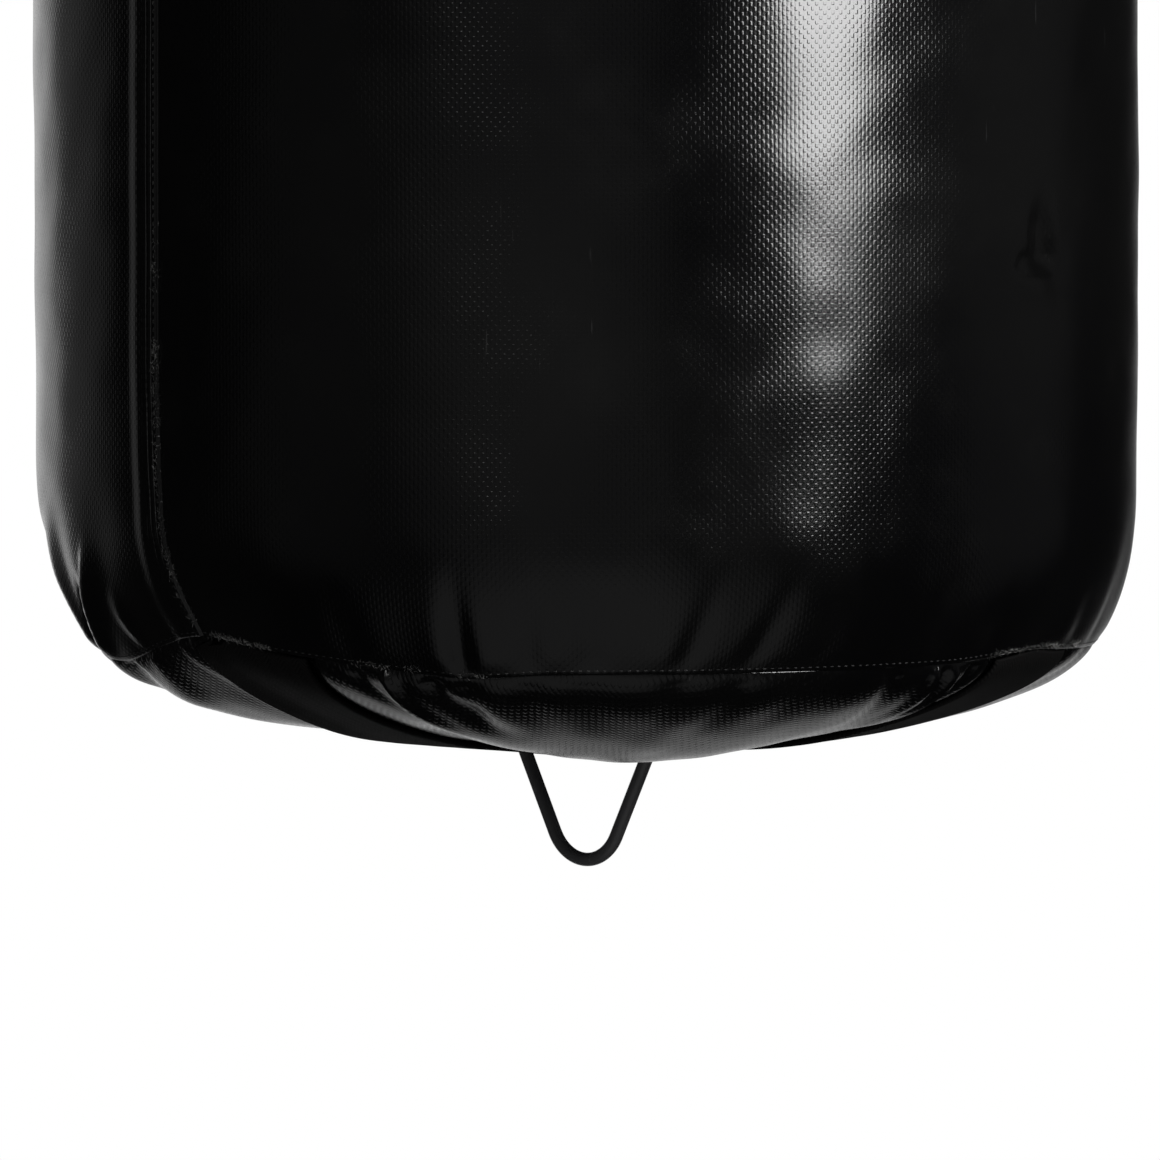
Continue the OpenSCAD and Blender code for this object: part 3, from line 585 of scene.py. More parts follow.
def side_swell(azimuth, height):
    """How far the side's cloth stands out from the plain tube, in metres."""
    h = height / MM
    swell = 0.45 * MM * broad_waves(azimuth, height)
    swell += 0.10 * MM * small_waves(azimuth, height) * ease(h / 40)
    low = (1 - ease(h / 75)) * ease((h + 4) / 10)
    swell += 0.45 * MM * small_waves(azimuth, height * 0.35) * low
    for at, width, depth, top, slant in puckers:
        away = turn_from(azimuth, at) * mm_per_degree - slant * h
        valley = bell(away, width) - 0.45 * bell(away, 2.6 * width)
        swell -= depth * MM * valley * (1 - ease(h / top)) * ease((h + 1) / 7)
    for line in side_creases:
        swell += crease(azimuth, height, line)
    for at, width, depth in side_hollows:
        swell -= depth * MM * bell(turn_from(azimuth, at), width) * (1 - ease(h / 62)) ** 1.6
    return swell


# %% [markdown]
# ## The side panel
# The side is one wide sheet, wrapped round and lapped on itself at the side seam. The lap is
# a band one cloth thicker: it ends in a folded edge on one side and fades away on the
# other. At the top the cloth turns over the rim, and at the bottom it draws in and turns
# under, where it is sewn. The grid is fine near the seam, where the cloth moves most, and
# coarse above. A solidify modifier gives the sheet its thickness.

# %% Lay out the side panel
lap_w = 16 * MM
lap_shift = 2.3


def lap_centre(height):
    """The side seam runs straight down and swings aside where the hem draws in."""
    return lap_azimuth + lap_shift * (1 - np.clip(height / (105 * MM), 0, 1)) ** 2


def lap_swell(azimuth, height):
    """The extra cloth of the lap: a folded edge on the right, a soft end on the left."""
    s = turn_from(azimuth, lap_centre(height)) * mm_per_degree
    edge = 1 - ease((s + 0.25) / 0.5)
    fade = ease((s + lap_w / MM) / 7)
    grooves = 0.22 * bell(s + 2.7, 0.5) + 0.18 * bell(s + 5.2, 0.5)
    return (canvas_t - grooves * MM) * edge * fade


def hem_radius(height):
    return bag_r - hem_draw * (1 - np.clip(height, 0, hem_h) / hem_h) ** hem_power


def side_point(azimuth, height, off=0.0):
    """A point on the side's outer face, at a height over the level of the seam."""
    azimuth, height = np.broadcast_arrays(np.asarray(azimuth, float), np.asarray(height, float))
    top = ease((rim_z - rim_r - seam_z - height) / (60 * MM))
    r = hem_radius(height) + side_swell(azimuth, height) * top + lap_swell(azimuth, height) + off
    lift = seam_rise(azimuth) * (1 - ease(height / (70 * MM)))
    return radial(azimuth) * r[..., None] + (height + seam_z + lift)[..., None] * np.array([0, 0, 1])


front_columns = np.concatenate([np.arange(-52, -10, 0.4), np.arange(-10, -3, 0.1),
                                np.arange(-3, 138, 0.56)])
back_columns = np.arange(138, 308, 1.25)
columns = np.concatenate([front_columns, back_columns])
wall_top = rim_z - rim_r - seam_z
heights = np.concatenate([np.arange(0, 60, 1.0), np.arange(60, 200, 3.5),
                          np.arange(200, wall_top / MM - 6, 9), [wall_top / MM]]) * MM
wall = side_point(columns[None, :], heights[:, None])

rim_angles = np.radians(np.arange(10, 91, 10))[:, None]
rim_centre_r = bag_r - rim_r
rim_radius = rim_centre_r + rim_r * np.cos(rim_angles) + lap_swell(columns, np.full(1, wall_top))
rim_rows = radial(columns)[None] * rim_radius[..., None]
rim_rows[..., 2] = rim_z - rim_r + rim_r * np.sin(rim_angles)
tuck_depth = np.array([0.5, 2.5, 9.0])[:, None] * MM
tuck_rows = radial(columns)[None] * np.full((3, len(columns)), rim_centre_r - 0.5 * MM)[..., None]
tuck_rows[..., 2] = rim_z - tuck_depth
under_in = np.array([9.0, 4.0, 1.6, 0.5])[:, None] * MM
under_rows = wall[:1] - radial(columns)[None] * under_in[..., None]
under_rows[..., 2] += np.array([0.9, 0.2, -0.3, -0.35])[:, None] * MM
side_grid = np.concatenate([under_rows, wall, rim_rows, tuck_rows])
side_flat = np.zeros((*side_grid.shape[:2], 2))
side_flat[..., 0] = bag_r * np.radians(columns)
side_flat[..., 1] = lengths(side_grid[:, 0])[:, None]
side_skin = grid_piece("side_skin", side_grid, side_flat, "bag", canvas_finish,
                       closed=True, thickness=canvas_t)
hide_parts("side_panel")
print("side panel:", side_grid.shape[0], "rows of", side_grid.shape[1])

# %% [markdown]
# ## The bottom panel
# The bottom is one round panel. It hangs under the seam as a shallow dome, the two crossed
# straps hold it in, and it swells out between them as four pillows. Near the seam it is
# gathered: its puckers run on from those of the side. Rows of the grid run from the middle
# to the edge, then turn in with the seam.

# %% Shape the bottom panel
bottom_depth = 27.2 * MM
pillow = 7 * MM
pillow_start = 3 * MM
pillow_rise = 26 * MM
sag = 3.0 * MM
outer_turn = 1.8
inner_turn = 105.0
# Azimuth and fullness of each of the four pillows.
pillow_amounts = [(-39, 0.05), (51, 0.95), (141, 0.9), (231, 0.45)]
# From azimuth and radius to azimuth and radius, then half width, swell in mm and lean of each
# crease. A lean of 1 or -1 makes one flank gentle.
under_creases = [
    (20, 164, 28, 122, 2.4, 2.6, 0), (25.5, 164, 35, 128, 3.6, -2.6, 0),
    (16.5, 164, 22, 134, 2.6, -1.4, 0), (86.0, 164, 89.5, 112, 2.2, 2.2, 0),
    (89.0, 164, 88.5, 112, 2.0, 2.4, 0), (87.2, 164, 89.0, 116, 1.6, -2.0, 0),
    (93.0, 164, 90.6, 118, 2.4, -2.6, 0), (80.0, 164, 86.0, 120, 3.0, -1.6, 0),
    (-14, 162, -26, 120, 4.0, 1.2, 0), (-20, 162, -33, 124, 4.0, -1.6, 0),
]
strap_ends = (outer_turn, outer_turn - 180, inner_turn, inner_turn - 180)
strap_half = math.degrees(math.asin(web_w / 2 / panel_r))


def clear_of_straps(azimuth):
    """0 where a strap runs into the seam, 1 a little way off to either side."""
    clear = np.ones_like(azimuth, dtype=float)
    for end in strap_ends:
        clear *= ease((np.abs(turn_from(azimuth, end)) - strap_half) / 2.5)
    return clear


edge_azimuths = np.arange(-180, 180.2, 0.25)
edge_radii = (np.linalg.norm(side_point(edge_azimuths, 0.0)[:, :2], axis=-1) - 0.7 * MM
              - (web_t + rest_gap) * (1 - clear_of_straps(edge_azimuths)))


def panel_edge(azimuth):
    """How far out the panel reaches, close under the edge of the side."""
    return np.interp(turn_from(azimuth, 0), edge_azimuths, edge_radii)


def bluntness(azimuth):
    """0.5 gives the panel a round edge, and more makes it flatter where the hem is pulled in."""
    left, right = bell(turn_from(azimuth, -50), 42), bell(turn_from(azimuth, 135), 34)
    return 0.5 + 0.24 * left + 0.16 * right


def dome_fall(share, azimuth):
    return np.maximum(0, 1 - share**3) ** bluntness(azimuth)


def dome_normal(x, y):
    """Unit vectors that point down out of the plain dome."""
    r = np.maximum(np.hypot(x, y), 1e-6)
    azimuth = azimuth_of(x, y)
    edge = panel_edge(azimuth)
    share = np.minimum(1, r / edge)
    blunt = bluntness(azimuth)
    steep = np.maximum(0.001, 1 - share**3) ** (blunt - 1)
    slope = bottom_depth * 3 * blunt * share**2 / edge * steep
    return unit(np.stack([slope * x / r, slope * y / r, -np.ones_like(r)], -1))


def seam_pull(azimuth, share):
    """How far the seam's rise carries the panel up with it."""
    return seam_rise(azimuth) * ease((share - 0.45) / 0.5)


def dome_point(x, y, off=0.0):
    """A point on the plain dome, or off it along its normal."""
    r = np.hypot(x, y)
    azimuth = azimuth_of(x, y)
    share = np.minimum(1, r / panel_edge(azimuth))
    low = sag * ease((r / MM - 26) / 24) * (1 - ease((r / MM - 70) / 86))
    low *= 1 + 0.55 * bell(turn_from(azimuth, 110), 50)
    z = seam_z - bottom_depth * dome_fall(share, azimuth) - low + seam_pull(azimuth, share)
    return np.stack([x, y, z], -1) + dome_normal(x, y) * np.asarray(off)[..., None]


def beyond_strap(x, y, turn):
    """How far a place lies beyond the edge of the strap that runs at a turn from Y."""
    t = math.radians(turn)
    return np.abs(x * math.cos(t) + y * math.sin(t)) - web_w / 2


def pillow_lift(distance):
    return 1 - bell(np.maximum(0, distance - pillow_start), pillow_rise)


def pillow_swell(x, y):
    """How far down the panel swells between the straps."""
    between = pillow_lift(beyond_strap(x, y, outer_turn)) * pillow_lift(beyond_strap(x, y, inner_turn))
    azimuth = azimuth_of(x, y)
    share = np.minimum(1, np.hypot(x, y) / panel_edge(azimuth))
    full = sum(amount * bell(turn_from(azimuth, at), 38) for at, amount in pillow_amounts)
    return full * pillow * between * np.sin(math.pi * share**1.25)


def under_crease(x, y, line):
    """A narrow fold along a straight line under the bag."""
    a0, r0, a1, r1, width, swell, lean = line
    start, end = radial(a0)[:2] * r0 * MM, radial(a1)[:2] * r1 * MM
    run = end - start
    length = np.hypot(*run)
    along = ((x - start[0]) * run[0] + (y - start[1]) * run[1]) / length
    off = ((x - start[0]) * run[1] - (y - start[1]) * run[0]) / length / MM
    near = ease((along / MM + 3) / 3) * (1 - ease((along / length - 0.3) / 0.7))
    gentle = np.where(off * lean > 0, 3.0, 1.0)
    return swell * MM * near * bell(off, width * gentle * (1 + along / length))


def off_the_seam(share):
    """0 at the panel's sewn edge, 1 a little way in."""
    return ease(np.sqrt(1 - share) / 0.09)


def under_swell(x, y):
    """How far the panel's cloth stands out from the plain dome, along its normal."""
    r = np.hypot(x, y)
    azimuth = azimuth_of(x, y)
    share = np.minimum(1, r / panel_edge(azimuth))
    panel_mm_per_degree = panel_r / MM * math.radians(1)
    loose = (ease(beyond_strap(x, y, outer_turn) / (8 * MM))
             * ease(beyond_strap(x, y, inner_turn) / (8 * MM)))
    gather = ease((share - 0.80) / 0.16) * off_the_seam(share)
    swell = 0.22 * MM * small_waves(azimuth, r) * ease((share - 0.3) / 0.5) * loose
    for at, width, depth, top, slant in puckers:
        away = turn_from(azimuth, at) * panel_mm_per_degree + slant * (1 - share) * 80
        swell -= 0.5 * depth * MM * bell(away, 1.1 * width) * gather * loose
    for line in under_creases:
        swell += under_crease(x, y, line) * off_the_seam(share) * loose
    return swell


def under_point(x, y, off=0.0):
    """A point on the bottom panel's outer face."""
    point = dome_point(x, y, under_swell(x, y) + off)
    point[..., 2] -= pillow_swell(x, y)
    return point


# Even steps in share near the middle, then steps that stay even where the edge turns up.
turned_up = np.linspace(math.sqrt(0.5), 0, 74)
shares = np.concatenate([np.linspace(0.02, 0.48, 17), 1 - turned_up**2])[:, None]
under_r = panel_edge(columns)[None, :] * shares
under_dome = under_point(*(radial(columns)[None, :, k] * under_r for k in (0, 1)))
turn_in = np.array([0.5, 1.6, 4.0, 9.0])[:, None, None] * MM
turn_up = np.array([0.25, 0.35, 0.35, 0.5])[:, None] * MM
under_edge = under_dome[-1:] - radial(columns)[None] * turn_in
under_edge[..., 2] += turn_up
under_grid = np.concatenate([under_dome, under_edge])
under_flat = radial(columns)[None, :, :2] * lengths(under_grid[:, 0])[:, None, None]
under_skin = grid_piece("bottom_skin", under_grid, under_flat, "bag", under_finish,
                        closed=True, pole=under_point(np.array(0.0), np.array(1e-6)),
                        thickness=canvas_t)
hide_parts("bottom_panel")
print("bottom panel:", under_grid.shape[0], "rows of", under_grid.shape[1])

# %% [markdown]
# ## Straps as bands
# A strap is a thin band with a flat face, a back and two rounded edges. It is swept along
# stations: at each station there is a middle point, a direction across and a direction out.
# The section is a closed loop, so the band has real thickness, and its woven edges catch
# the light as they do on real webbing.

# %% A helper that makes webbing
face_steps = 10
edge_steps = 4


face_across = np.linspace(-1, 1, face_steps + 1)
edge_turn = np.linspace(0, math.pi, edge_steps + 1)[1:-1]


def strap_section(half_width):
    """Across and out from the middle of the webbing, once round its section."""
    flat_half = half_width - web_t / 2
    bulge = web_t / 2 * np.sin(edge_turn)
    v = np.concatenate([face_across * flat_half, flat_half + bulge,
                        face_across[::-1] * flat_half, -flat_half - bulge], -1)
    n = np.concatenate([np.ones_like(face_across), np.cos(edge_turn)])
    return v, web_t / 2 * np.concatenate([n, -n])


def band_piece(name, middle, across, out, half_width, crown, body, finish):
    """Webbing through stations. crown is how strongly each section curves back at its edges."""
    v, n = strap_section(half_width[:, None])
    bow = n - crown[:, None] * v * v / 2
    loops = middle[:, None] + across[:, None] * v[..., None] + out[:, None] * bow[..., None]
    flat = np.stack([v, np.broadcast_to(lengths(middle)[:, None], v.shape)], -1)
    return closed_band(name, loops[:, ::-1], flat[:, ::-1], body, finish)


def closed_band(name, loops, flat, body, finish):
    """A band from closed sections, with its two cut ends filled."""
    stations, count = loops.shape[:2]
    i, j = (x.ravel() for x in np.meshgrid(np.arange(stations - 1), np.arange(count), indexing="ij"))
    right = (j + 1) % count
    corners = np.stack([i * count + j, i * count + right,
                        (i + 1) * count + right, (i + 1) * count + j], -1)
    uv = np.stack([flat[i, j], flat[i, right], flat[i + 1, right], flat[i + 1, j]], 1).reshape(-1, 2)
    ends = [list(range(count))[::-1], list(range((stations - 1) * count, stations * count))]
    uv = np.concatenate([uv, flat[0][::-1], flat[-1]])
    return soft_piece(name, loops, corners.tolist() + ends, body, finish, uv)


print("webbing helper ready")

# %% [markdown]
# ## The two straps under the bag
# Both straps lie on the dome from seam to seam. The outer one crosses over the inner one,
# and it stands off the panel in the middle, where the small ring's bar passes under it.
# Each row across the strap follows the dome, so the strap cups a little, as webbing does
# on a round bag.

# %% Lay the bottom straps
tie_wire_d = 4.4 * MM
tie_lift = web_t + 2 * rest_gap + tie_wire_d
lift_spread = 0.9 * web_w


def bottom_strap(name, turn, lift):
    angle = np.radians(np.linspace(89.4, -89.4, 141))[:, None]
    t = math.radians(turn)
    w, n = strap_section(web_w / 2)
    reach = np.where(angle > 0, panel_edge(turn - 180), panel_edge(turn))
    s = np.sin(angle) * np.sqrt(reach**2 - w**2)
    x, y = w * math.cos(t) - s * math.sin(t), w * math.sin(t) + s * math.cos(t)
    loops = dome_point(x, y, rest_gap + web_t / 2 + n)
    loops[..., 2] -= lift * bell(s, lift_spread)
    ripple = 0.25 * MM * np.sin(s / (14 * MM) + 3 * turn) * (np.abs(w) / web_w * 2) ** 2
    loops[..., 2] -= ripple * ease((panel_r - np.abs(s)) / (30 * MM)) * ease((np.abs(s) - 0.03) / 0.02)
    run = lengths(loops[:, face_steps // 2])
    flat = np.stack([np.broadcast_to(w, s.shape), np.broadcast_to(run[:, None], s.shape)], -1)
    return closed_band(name, loops, flat, "bag", web_finish)


inner_strap = bottom_strap("bottom_webbing_inner", inner_turn, 0.0)
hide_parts("bottom_strap_inner")
outer_strap = bottom_strap("bottom_webbing_outer", outer_turn, tie_lift)
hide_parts("bottom_strap_outer")
print("bottom straps", web_w / MM, "mm wide, the outer one lifted", round(tie_lift / MM, 1), "mm")

# %% [markdown]
# ## The two straps over the bag
# Each upper strap is one length. It is sewn to the side, runs up over the rim, turns
# slowly on its way to the ring, wraps over the ring's bar at a slant and runs down to the
# opposite side. The second strap lies on the first where they cross. Only the front half
# is worked out: the back half is the same, turned half round.

# %% Lay the upper straps
ring_low, ring_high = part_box("hanging_ring")
ring_wire_d = 8 * MM
bar_z = ring_low.z + ring_wire_d / 2
tail_l = 110 * MM
tail_azimuth = 45.0
strap_stack = web_t + rest_gap
rim_centre_z = rim_z - rim_r
rim_wrap_r = rim_r + rest_gap + web_t / 2


def bend_radius(layer):
    return ring_wire_d / 2 + rest_gap + web_t / 2 + layer * strap_stack


rim_rise = bar_z - rim_centre_z
rim_lean = (math.atan2(rim_centre_r, rim_rise)
            - math.asin((bend_radius(0) - rim_wrap_r) / math.hypot(rim_centre_r, rim_rise)))
rim_touch_r = rim_centre_r + rim_wrap_r * math.cos(rim_lean)
rim_touch_z = rim_centre_z + rim_wrap_r * math.sin(rim_lean)
span_x = rim_touch_r * math.sin(math.radians(tail_azimuth))
span_y = rim_touch_r * math.cos(math.radians(tail_azimuth))
span_drop = bar_z - rim_touch_z


def span_lean(layer):
    return math.atan2(span_y, span_drop) - math.asin(bend_radius(layer) / math.hypot(span_y, span_drop))


def bend_length(layer):
    return bend_radius(layer) * (math.pi / 2 - span_lean(layer))


def run_length(layer):
    return bend_length(layer) + math.sqrt(math.hypot(span_y, span_drop) ** 2 - bend_radius(layer) ** 2)


def front_stations(side, layer):
    """Middle, across, out, half width and crown of each station from a sewn end to the bar."""
    azimuth = side * tail_azimuth
    out, round_way = radial(azimuth), tangent(azimuth)
    up = np.array([0.0, 0.0, 1.0])
    lean = span_lean(layer)
    r = bend_radius(layer)
    slant = math.atan(span_x / run_length(1))
    wide = web_w / 2 / math.cos(slant)
    stations = []
    tail_r = bag_r + rest_gap + web_t / 2
    for f in np.linspace(0, 1, 34):
        stations.append((out * tail_r + up * (rim_centre_z - tail_l * (1 - f)), round_way, out,
                         web_w / 2, 1 / tail_r))
    for a in rim_lean * np.linspace(0, 1, 9)[1:]:
        arc_r = rim_centre_r + rim_wrap_r * math.cos(a)
        stations.append((out * arc_r + up * (rim_centre_z + rim_wrap_r * math.sin(a)), round_way,
                         out * math.cos(a) + up * math.sin(a), web_w / 2, math.cos(a) / arc_r))
    rim_point = out * rim_touch_r + up * rim_touch_z
    bar_point = np.array([side * span_x * bend_length(layer) / run_length(layer),
                          -r * math.cos(lean), bar_z + r * math.sin(lean)])
    along = unit(bar_point - rim_point)
    for f in np.linspace(0, 1, 61)[1:]:
        twist = float(ease(f / 0.78))
        across = unit(mix(round_way, np.array([1.0, 0.0, 0.0]), twist))
        normal = unit(np.cross(across, along))
        clear = layer * strap_stack * (1 - f) * float(ease(f / 0.75))
        stations.append((mix(rim_point, bar_point, f) + normal * clear, across, normal,
                         mix(web_w / 2, wide, twist),
                         mix(math.cos(rim_lean) / rim_touch_r, 0, float(ease(1.3 * f)))))
    for e in np.linspace(lean, math.pi / 2, 9)[1:]:
        x = side * span_x * r * (math.pi / 2 - e) / run_length(layer)
        stations.append((np.array([x, -r * math.cos(e), bar_z + r * math.sin(e)]),
                         np.array([1.0, 0.0, 0.0]), np.array([0, -math.cos(e), math.sin(e)]),
                         wide, 0.0))
    return stations


def whole_strap(side, layer):
    """The front stations, then the same ones turned half round and run backwards."""
    front = front_stations(side, layer)
    turned = np.array([-1.0, -1.0, 1.0])
    back = [(m * turned, -a * turned, o * turned, w, c) for m, a, o, w, c in front[-2::-1]]
    return [np.array(part) for part in zip(*(front + back))]


for letter, side, layer in (("a", -1, 0), ("b", 1, 1)):
    strap = band_piece("hanging_webbing_" + letter, *whole_strap(side, layer), "bag", web_finish)
    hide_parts("hanging_strap_" + letter)
print("upper straps wrap a bar at", round(bar_z, 4), "m")

# %% [markdown]
# ## The lid and its zip
# The lid is a round of the same cloth with a slit for the zip. Its grid runs from the slit's
# edge out to the rim, each row a blend between the slit's outline and the circle, and then
# turns down at the lid's sewn edge. The tapes are two woven ribbons under the slit.

# %% Make the lid
slider_low, slider_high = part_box("zip_slider")
tape_low, tape_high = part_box("zip_tapes")
slit_half_w = (slider_high.y - slider_low.y) / 2 + 1 * MM
slit_half_l = tape_high.x - 4 * MM
angles = np.radians(np.arange(0, 360, 1.0))
slit_x = np.clip(1.35 * lid_r * np.cos(angles), -slit_half_l, slit_half_l)
slit_y = np.clip(0.5 * lid_r * np.sin(angles), -slit_half_w, slit_half_w)
spread = np.concatenate([[0.0, 0.006, 0.02], np.linspace(0.05, 1, 30)])[:, None]
lid_x = mix(slit_x[None], (lid_r - 0.6 * MM) * np.cos(angles)[None], spread)
lid_y = mix(slit_y[None], (lid_r - 0.6 * MM) * np.sin(angles)[None], spread)
lid_azimuth = azimuth_of(lid_x, lid_y)
lid_reach = np.hypot(lid_x, lid_y)
away_from_zip = ease((np.abs(lid_y) / MM - 16) / 30)
lid_z = np.full_like(lid_x, rim_z - 0.1 * MM)
lid_z -= 3.5 * MM * away_from_zip * (1 - (lid_reach / lid_r) ** 4)
flat_at_edge = 1 - ease((lid_reach / lid_r - 0.9) / 0.1)
lid_z += 0.35 * MM * small_waves(lid_azimuth, lid_reach) * away_from_zip * flat_at_edge
lid_rows = np.stack([lid_x, lid_y, lid_z], -1)
fold_rows = np.stack([np.stack([lid_r * np.cos(angles), lid_r * np.sin(angles),
                                np.full(len(angles), rim_z - depth * MM)], -1)
                      for depth in (0.7, 3.0, 9.5)])
lid_grid = np.concatenate([lid_rows, fold_rows])
lid_flat = lid_grid[..., :2].copy()
lid_skin = grid_piece("lid_skin", lid_grid, lid_flat, "bag", canvas_finish,
                      closed=True, thickness=canvas_t)
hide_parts("top_panel")
print("lid with a slit", round(2 * slit_half_l, 3), "m long")

# %% Weave the zip tapes
tape_t = tape_high.z - tape_low.z
tape_inner = 3.1 * MM
tape_outer = tape_high.y
tape_run = np.linspace(tape_low.x, tape_high.x, 200)
tape_wide = np.linspace(tape_inner, tape_outer, 12)
for name, way in (("zip_tape_front", -1), ("zip_tape_back", 1)):
    x, y = np.meshgrid(tape_run, tape_wide, indexing="ij")
    wave = 0.12 * MM * np.sin(x / (9 * MM) + way) * ease((y - tape_inner) / (6 * MM) - 0.6)
    grid = np.stack([x, way * y, tape_high.z - 0.02 * MM - np.abs(wave)], -1)
    tape = grid_piece(name, grid[:, ::way], np.stack([y, x], -1)[:, ::way], "bag",
                      tape_finish, thickness=tape_t - 0.1 * MM)
    if way > 0:
        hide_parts("zip_tapes")
print("tapes", round(tape_t / MM, 2), "mm thick")

# %% [markdown]
# ## The filling
# The bag is packed with torn rags. They are shut in, but they fill the space, so they are
# made as one lumpy mass that keeps clear of the cloth.

# %% Pack the rags
fill_low, fill_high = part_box("filling")
fill_columns = np.arange(0, 360, 4.0)
fill_rows = np.linspace(0.02, 0.98, 90)[:, None]
fill_z, fill_way = np.broadcast_arrays(mix(seam_z - 18 * MM, rim_z - 14 * MM, fill_rows), fill_columns)
fill_shape = np.minimum(1, (1 - np.abs(2 * fill_rows - 1) ** 24)) ** 0.5
lumps = Waves(11, 0.05, 0.3, 40)
fill_r = (bag_r - 6 * MM - hem_draw * ease((seam_z + 0.06 - fill_z) / 0.07)) * fill_shape
fill_r = fill_r - 2.0 * MM * np.abs(lumps(fill_way, fill_z))
fill_grid = radial(fill_way) * fill_r[..., None]
fill_grid[..., 2] = fill_z
fill_flat = np.stack([fill_way * 0.003, fill_z], -1)
rag_mass = grid_piece("packed_rags", fill_grid, fill_flat, "bag", rag_finish,
                      closed=True, pole=(0, 0, float(fill_z[0, 0])))
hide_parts("filling")
print("rags packed into", round(float(np.ptp(fill_z)), 3), "m")

# %% [markdown]
# ## Stitches
# A row of lockstitches is a row of short rounded bars that sink into the cloth at both
# ends. One bar is drawn as a few rings of points and then copied along a path, in one
# mesh, turned each time to lie along the path and on the cloth.

# %% A helper that sews


def stitch_row(name, path, normals, pitch, body, finish, length=0.72, width=0.42 * MM, sink=0.12 * MM,
               seed=1):
    """Stitches along a path of points with the cloth's normals, a pitch apart."""
    draw = np.random.default_rng(seed)
    run = lengths(path)
    count = max(1, int(run[-1] / pitch))
    at = (np.arange(count) + 0.5) * run[-1] / count
    ends = [np.stack([np.interp(at + way * pitch * length / 2, run, path[:, k]) for k in range(3)], -1)
            for way in (-1, 1)]
    up = unit(np.stack([np.interp(at, run, normals[:, k]) for k in range(3)], -1))
    along = ends[1] - ends[0]
    size = np.linalg.norm(along, axis=-1)
    along = unit(along)
    side = unit(np.cross(up, along))
    up = np.cross(along, side)
    middle = (ends[0] + ends[1]) / 2
    skew = draw.normal(0, 0.05, count)
    stations = np.array([-0.5, -0.42, -0.22, 0.0, 0.22, 0.42, 0.5])
    thick = np.array([0.30, 0.72, 0.98, 1.0, 0.98, 0.72, 0.30])
    drop = np.array([1.3, 0.55, 0.12, 0.0, 0.12, 0.55, 1.3]) * width
    ring = np.linspace(0, 2 * math.pi, 7)[:-1]
    points = (middle[:, None, None]
              + along[:, None, None] * stations[None, :, None, None] * size[:, None, None, None]
              + side[:, None, None] * (skew[:, None] * stations[None] * size[:, None])[..., None, None]
              + side[:, None, None] * (thick[:, None] * np.cos(ring) * width / 2)[None, ..., None]
              + up[:, None, None] * (thick[:, None] * np.sin(ring) * width / 2
                                     + width / 2 - sink - drop[:, None])[None, ..., None])
    block = len(stations) * len(ring)
    i, j = (x.ravel() for x in np.meshgrid(np.arange(len(stations) - 1), np.arange(len(ring)),
                                           indexing="ij"))
    following = (j + 1) % len(ring)
    low, high = i * len(ring), (i + 1) * len(ring)
    quads = np.stack([low + j, high + j, high + following, low + following], -1)
    faces = []
    for k in range(count):
        faces += (quads + k * block).tolist()
        faces.append([k * block + q for q in range(len(ring))])
        faces.append([(k + 1) * block - 1 - q for q in range(len(ring))])
    soft_piece(name, points, faces, body, finish)
    return count


def side_normals(azimuth, height):
    """Unit vectors out of the side's cloth, by small steps each way."""
    step_a, step_h = 0.2, 0.6 * MM
    a = side_point(azimuth + step_a, height) - side_point(azimuth - step_a, height)
    h = side_point(azimuth, height + step_h) - side_point(azimuth, height - step_h)
    return unit(np.cross(a, h))


print("needle ready")

# %% Sew the seams of the bag
seam_heights = np.arange(3 * MM, wall_top, 1.0 * MM)
sewn_line = lap_centre(seam_heights) - 0.25
count = stitch_row("side_seam_stitches", side_point(sewn_line, seam_heights),
                   side_normals(sewn_line, seam_heights), 2.6 * MM, "bag", thread_finish)
print(count, "stitches up the side")
round_way = np.arange(-52, 308, 0.4)
hem_line = side_point(round_way, 1.0 * MM)
count = stitch_row("bottom_seam_stitches", hem_line,
                   radial(round_way) * 0.8 - np.array([0, 0, 0.6]), 2.6 * MM, "bag", thread_finish, sink=0.25 * MM, seed=2)
print(count, "stitches round the bottom")

# %% Fray the worn thread
# Start, end, and how many fibres stand out in each worn place, up the side in mm over the
# seam, and then round the bottom in degrees.
worn_up = [(4, 46, 150), (75, 103, 150), (118, 140, 40), (52, 70, 36)]
worn_round = [(-3.5, 5.5, 170), (22.5, 24.5, 26), (28.5, 32, 34), (94, 116, 150), (15, 21, 30)]


